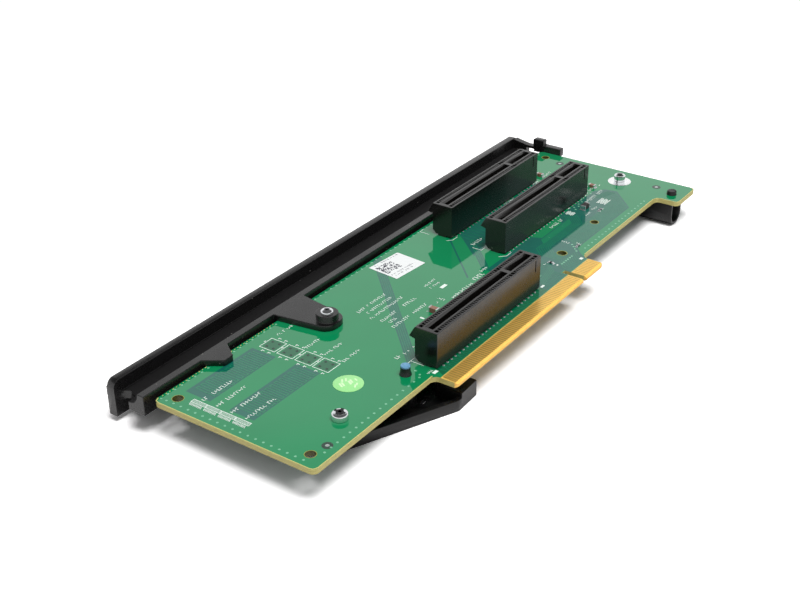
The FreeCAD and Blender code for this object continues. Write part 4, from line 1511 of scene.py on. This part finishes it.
@dataclass
class Guides:
    """Bracket and sleeve under the board, with their screw, peg and standoff."""

    bracket_ease: float = 0.18
    sleeve_ease: float = 0.3
    # moves the painted shade of the screw's recess off the centre, towards the recess's darker far
    # side
    recess_shade_shift: Point = (0.36, 0.28)

    def screw(self) -> None:
        """Flat head with rounded shoulders and a deep cross, whose inside is painted shade."""
        low, high = in_board("bracket_screw")
        centre = plan_centre("bracket_screw")
        radius = (high - low)[0] / 2
        Surface().turned([(0, low[2]), (1.2, low[2]), (1.45, low[2] + 0.3), (1.45, 0),
                          (radius - 0.1, 0), (radius, 0.12), (radius, 1.45),
                          (radius - 0.06, 1.66), (radius - 0.18, 1.8), (radius - 0.36, 1.87),
                          (1.1, 1.9), (1.05, 1.5), (0.5, 0.9), (0, 0.75)], centre, 64).piece(
            "bracket_screw_head", "chrome", "screw_metal", ("bracket_screw",), smooth=38)
        # dark disc and bars: painted shade of the recess, set off the centre
        middle = centre + self.recess_shade_shift
        cross = Surface().turned([(0, 1.2), (1.0, 1.2), (1.1, 1.905), (0, 1.905)], middle, 32)
        for turn in (5.0, 95.0):
            cross.bars(middle, np.array([3.2, 0.9]), 1.2, 1.912, turn)
        cross.piece("bracket_screw_cross_shade", "recess", "screw_metal")

    def peg(self) -> None:
        """Peg with a flared foot, and its rounded coloured cap."""
        low, high = in_board("locating_peg")
        Surface().turned([(0, low[2]), (1.1, low[2]), (1.1, 0), (1.75, 0), (1.72, 0.2),
                          (1.5, 0.9), (1.42, 1.7), (1.4, high[2]), (0, high[2])],
                         plan_centre("locating_peg"), 48).piece(
            "peg_body", "peg", "peg_plastic", ("locating_peg",), smooth=40)
        base, top = in_board("locating_peg_cap")[0][2], in_board("locating_peg_cap")[1][2]
        Surface().turned([(0, base), (1.38, base), (1.4, base + 0.1), (1.38, top - 0.18),
                          (1.28, top - 0.05), (1.1, top), (0, top)],
                         plan_centre("locating_peg"), 48).piece(
            "peg_cap", "blue", "blue_plastic", ("locating_peg_cap",), smooth=40)

    def standoff(self) -> None:
        """Bright standoff with a foot flange, a waist and a countersunk bore, with a dark disc down
        in the bore as painted shade.
        """
        low, high = in_board("standoff")
        centre = plan_centre("standoff")
        tall = high[2]
        Surface().turned([(1.25, low[2]), (1.65, low[2]), (1.7, low[2] + 0.1), (1.7, 0),
                          (2.0, 0), (2.0, 0.35), (1.86, 0.45), (1.86, 0.95), (2.0, 1.05),
                          (2.0, tall - 0.25), (1.8, tall), (1.5, tall), (1.25, tall - 0.3)],
                         centre, 48, ring=True).piece(
            "standoff_body", "chrome", "screw_metal", ("standoff",), smooth=38)
        # dark disc inside the bore: painted shade
        Surface().turned([(0, tall - 1.0), (1.24, tall - 1.0), (1.24, tall - 0.45),
                          (0, tall - 0.45)], centre, 32).piece(
            "standoff_bore_shade", "recess", "screw_metal")

    def build(self) -> None:
        """Both guides and what holds them."""
        eased_copy("guide_bracket", "guide_bracket_body", "guide",
                   self.bracket_ease)
        eased_copy("guide_sleeve", "guide_sleeve_body", "guide",
                   self.sleeve_ease)
        self.screw()
        self.peg()
        self.standoff()


# ---------------------------------------------------------------- small parts and papers
@dataclass
class SmallParts:
    """Chips, and the solder that holds them.

    A large chip has its kind, plan centre, turn, length, width and height. A pad has its plan
    centre, its turn, the chip's half length and its width.
    """

    large: tuple = (("capacitor", 80.5, 19.3, 90, 3.2, 1.7, 1.5),
                    ("capacitor", 185.0, 43.0, 90, 2.5, 1.5, 1.05),
                    ("capacitor", 186.7, 22.7, 90, 2.5, 1.5, 1.05),
                    ("bead", 169.5, 16.5, 0, 3.5, 1.95, 1.5))
    pads: tuple = ((80.5, 19.3, 90, 1.6, 1.6), (185.0, 43.0, 90, 1.2, 1.5),
                   (186.7, 22.7, 90, 1.2, 1.5), (127.05, 6.0, 90, 0.8, 0.9),
                   (142.4, 4.7, 0, 0.8, 0.9), (170.9, 11.4, 0, 0.8, 0.9),
                   (169.5, 16.5, 0, 1.7, 1.9))
    cap: float = 0.5

    def _heading(self, turn: float) -> np.ndarray:
        """Plan direction at an angle in degrees: its cosine and sine."""
        return np.array([math.cos(math.radians(turn)), math.sin(math.radians(turn))])

    def chips(self) -> None:
        """Bodies of the larger chips, and the metal caps at their ends."""
        bodies = {"capacitor": Surface(), "bead": Surface()}
        ends = Surface()
        for kind, x, y, turn, long, wide, tall in self.large:
            bodies[kind].bars(np.array([[x, y]]), np.array([long - 0.8, wide - 0.08]),
                              0.03, tall, turn)
            along = self._heading(turn) * (long - self.cap) / 2
            ends.bars(np.array([(x, y) + along, (x, y) - along]), np.array([self.cap, wide]),
                      0.0, tall + 0.04, turn)
        bodies["capacitor"].piece("large_capacitors", "capacitor", "capacitor_ceramic")
        bodies["bead"].piece("large_bead", "ferrite", "ferrite")
        ends.piece("large_chip_ends", "tin", "tin")

    def solder(self) -> None:
        """Flat pad and steep fillet at both ends of each chip."""
        solder = Surface()
        for x, y, turn, half, wide in self.pads:
            for side in (-1, 1):
                for past, size, low, high in ((0.18, (0.55, wide + 0.25), 0.0, 0.05),
                                              (0.1, (0.2, wide), 0.05, 0.22)):
                    place = np.array((x, y)) + side * (half + past) * self._heading(turn)
                    solder.bars(place[None], np.array(size), low, high, turn)
        solder.piece("chip_solder", "tin", "tin")

    def build(self) -> None:
        """Finishes of the chips, their fuller bodies and their solder."""
        for node, finish in (("capacitor_bodies", "capacitor"), ("capacitor_terminals", "tin"),
                             ("resistor_bodies", "resistor"), ("resistor_terminals", "tin"),
                             ("ferrite_bead_body", "ferrite"), ("ferrite_bead_terminals", "tin")):
            dress(node, finish)
        self.chips()
        self.solder()


@dataclass
class Papers:
    """The printed label and the round sticker."""

    turn: float = -5.0
    liner: Point = (13.9, 11.2)
    cell: float = 0.45
    print_height: float = 0.015
    sticker: Point = (35.5, 16.7)
    sticker_radius: float = 4.2
    sticker_height: float = 0.1
    sticker_strokes: tuple = (
        (-1.9, 1.1, 1.9, 0.5, 62), (-1.2, 0.9, 1.9, 0.5, 62), (0.5, -0.1, 1.9, 0.55, 62),
        (1.3, 0.0, 1.7, 0.55, 62), (1.0, 1.6, 1.5, 0.45, 40), (0.1, 2.2, 1.3, 0.45, 40),
        (0.0, -2.3, 1.5, 0.5, 30), (1.0, -2.1, 1.2, 0.45, 30), (2.6, -0.6, 1.2, 0.45, 70))
    rng: np.random.Generator = field(default_factory=lambda: np.random.default_rng(5))

    def label(self) -> None:
        """Paper label on its clear liner, with a square code and rows of plain strokes."""
        dress("part_label", "paper")
        centre = plan_centre("part_label")
        top = in_board("part_label")[1][2]
        angle = math.radians(self.turn)
        turned = np.array([[math.cos(angle), math.sin(angle)],
                           [-math.sin(angle), math.cos(angle)]])
        Surface().bars(np.array([[0.1, -0.45]]) @ turned + centre, np.array(self.liner),
                       0.045, 0.07, self.turn).piece("label_liner", "paper", "label_paper")
        ink = Surface()
        printed = (top, top + self.print_height, self.turn)
        cells = np.stack(np.meshgrid(np.arange(15), np.arange(12)), -1).reshape(-1, 2)
        cells = cells[self.rng.random(len(cells)) > 0.5]
        plan = (cells - (7.0, 5.5)) * self.cell + (-2.6, 0.9)
        ink.bars(plan @ turned + centre, np.array([0.42, 0.42]), *printed)
        for row, y in enumerate((4.7, -3.2, -4.4)):
            x = np.arange(-5.8, 5.9 - 1.5 * row, 0.52)
            x = x[self.rng.random(len(x)) > 0.25]
            tall = self.rng.choice([0.35, 0.7], len(x))
            ink.bars(np.c_[x, np.full(len(x), y)] @ turned + centre,
                     np.c_[np.full(len(x), 0.2), tall], *printed)
        ink.piece("label_marks", "print", "label_paper")

    def sticker_disc(self) -> None:
        """Green sticker with a soft edge and pale plain marks."""
        centre = np.array([self.sticker])
        radius, top = self.sticker_radius, self.sticker_height
        Surface().turned([(0, 0.0), (radius, 0.0), (radius, 0.07), (radius - 0.06, top),
                          (0, top)], centre, 72).piece("round_sticker", "sticker",
                                                       "sticker_paper", smooth=30)
        marks = Surface()
        for x, y, length, width, turn in self.sticker_strokes:
            marks.bars(np.array([[x, y]]) + centre, np.array([length, width]),
                       top, top + self.print_height, turn)
        marks.piece("sticker_marks", "sticker_print", "sticker_paper")

    def build(self) -> None:
        """Both papers."""
        self.label()
        self.sticker_disc()


# ---------------------------------------------------------------- studio
@dataclass
class Studio:
    """Plain floor, soft light and the camera.

    The eye is in millimetres in the board's frame, and all other lengths are in metres. The
    paper turns plain white over the distances in fade. In gloss, the wall's strength changes by
    wall_level over the heights in wall_low, and drops to the ceiling's over those in wall_top.
    """

    eye: tuple[float, float, float] = (-184.665, -158.571, 181.988)
    heading: float = 35.64
    dip: float = 29.12
    roll: float = -0.82
    lens: float = 56.08
    reach: float = 3.0
    paper: Colour = (0.66, 0.65, 0.65)
    paper_in_gloss: Colour = (0.92, 0.91, 0.91)
    paper_seen: Colour = (1.3, 1.29, 1.29)
    white: Colour = (1.0, 1.0, 1.0)
    fade: Point = (0.25, 0.5)
    wall_low: Point = (0.40, 0.52)
    wall_level: Point = (1.1, 1.0)
    wall_top: Point = (0.56, 0.66)
    ceiling: float = 0.12
    ambient: float = 0.35

    def camera(self) -> None:
        """Camera at the eye: it looks along its heading and dips below the horizon."""
        data = bpy.data.cameras.new("camera")
        data.lens = self.lens
        data.sensor_width = 36.0
        data.clip_start = 0.01
        turn = (Matrix.Rotation(math.radians(self.heading - 90), 4, "Z")
                @ Matrix.Rotation(math.radians(90 - self.dip), 4, "X")
                @ Matrix.Rotation(math.radians(self.roll), 4, "Z"))
        made = bpy.data.objects.new("camera", data)
        made.matrix_world = Matrix.Translation(Vector(CORNER + np.array(self.eye) * MM)) @ turn
        bpy.context.scene.collection.objects.link(made)
        bpy.context.scene.camera = made

    def floor_paper(self) -> bpy.types.Material:
        """White paper, plain white further off and clear from below.

        Returns:
            The floor's material.
        """
        material = bpy.data.materials.new("floor_paper")
        material.use_nodes = True
        graph = Graph(material.node_tree)
        graph.tree.nodes.clear()
        path = graph.node("LightPath").outputs
        gloss = graph.blend(path["Is Glossy Ray"], self.paper, self.paper_in_gloss)
        shown = graph.blend(path["Is Camera Ray"], gloss, self.paper_seen)
        sheet = graph.node("BsdfDiffuse", {"Color": shown})
        white = graph.node("Emission", {"Color": self.white, "Strength": 1.0})
        place = graph.node("TexCoord").outputs["Object"]
        distance = graph.node("VectorMath", {0: place}, operation="LENGTH").outputs[1]
        away = graph.both(graph.span(distance, *self.fade), path["Is Camera Ray"])
        upper = graph.node("MixShader", {0: away, 1: sheet.outputs[0], 2: white.outputs[0]})
        clear = graph.node("BsdfTransparent", {"Color": self.white})
        below = graph.node("NewGeometry").outputs["Backfacing"]
        whole = graph.node("MixShader", {0: below, 1: upper.outputs[0], 2: clear.outputs[0]})
        graph.node("OutputMaterial", {"Surface": whole.outputs[0]})
        return material

    def floor(self) -> None:
        """White sheet under the card, which keeps its soft shadow."""
        mesh = bpy.data.meshes.new("floor")
        far = self.reach
        mesh.from_pydata([(-far, -far, 0), (far, -far, 0), (far, far, 0), (-far, far, 0)],
                         [], [(0, 1, 2, 3)])
        made = bpy.data.objects.new("floor", mesh)
        made.data.materials.append(self.floor_paper())
        bpy.context.scene.collection.objects.link(made)

    def world(self) -> None:
        """Pale surround: white to the camera, in gloss a white wall under a dim ceiling."""
        world = bpy.data.worlds.new("surround")
        bpy.context.scene.world = world
        world.use_nodes = True
        graph = Graph(world.node_tree)
        graph.tree.nodes.clear()
        path = graph.node("LightPath").outputs
        rise = graph.split(graph.node("TexCoord").outputs["Generated"])[2]
        wall = graph.mix(graph.span(rise, *self.wall_top),
                         graph.span(rise, *self.wall_low, *self.wall_level), self.ceiling)
        plain = graph.math("MAXIMUM", path["Is Camera Ray"], path["Is Transmission Ray"])
        level = graph.mix(path["Is Glossy Ray"], self.ambient, wall)
        sky = graph.node("Background", {"Color": self.white,
                                        "Strength": graph.mix(plain, level, 1.0)})
        graph.node("OutputWorld", {"Surface": sky.outputs[0]})

    def lamp(self, name: str, place: tuple[float, float, float], size: float,
             power: float) -> None:
        """Square soft lamp aimed at the card.

        Args:
            name: Name of the lamp.
            place: Its place in metres.
            size: Length of its side in metres.
            power: Its power in watts.
        """
        data = bpy.data.lights.new(name, "AREA")
        data.shape = "SQUARE"
        data.size = size
        data.energy = power
        made = bpy.data.objects.new(name, data)
        toward = Vector(place).to_track_quat("Z", "Y").to_matrix().to_4x4()
        made.matrix_world = Matrix.Translation(Vector(place)) @ toward
        made.visible_camera = False
        made.visible_glossy = False
        bpy.context.scene.collection.objects.link(made)

    def build(self) -> None:
        """Camera, floor, surround and lamp."""
        bpy.context.scene.view_settings.view_transform = "Standard"
        self.camera()
        self.floor()
        self.world()
        self.lamp("overhead", (-0.10, -0.24, 0.85), 0.5, 8.3)


def main() -> None:
    """Builds the card's sub-assemblies in order, then the studio."""
    logging.basicConfig(level=logging.INFO, format="%(message)s")
    Artwork().build()
    Printing().build()
    for number in (1, 2, 3):
        SlotConnector(number).build()
    HandleRail().build()
    Guides().build()
    SmallParts().build()
    Papers().build()
    Studio().build()


if __name__ == "__main__":
    main()
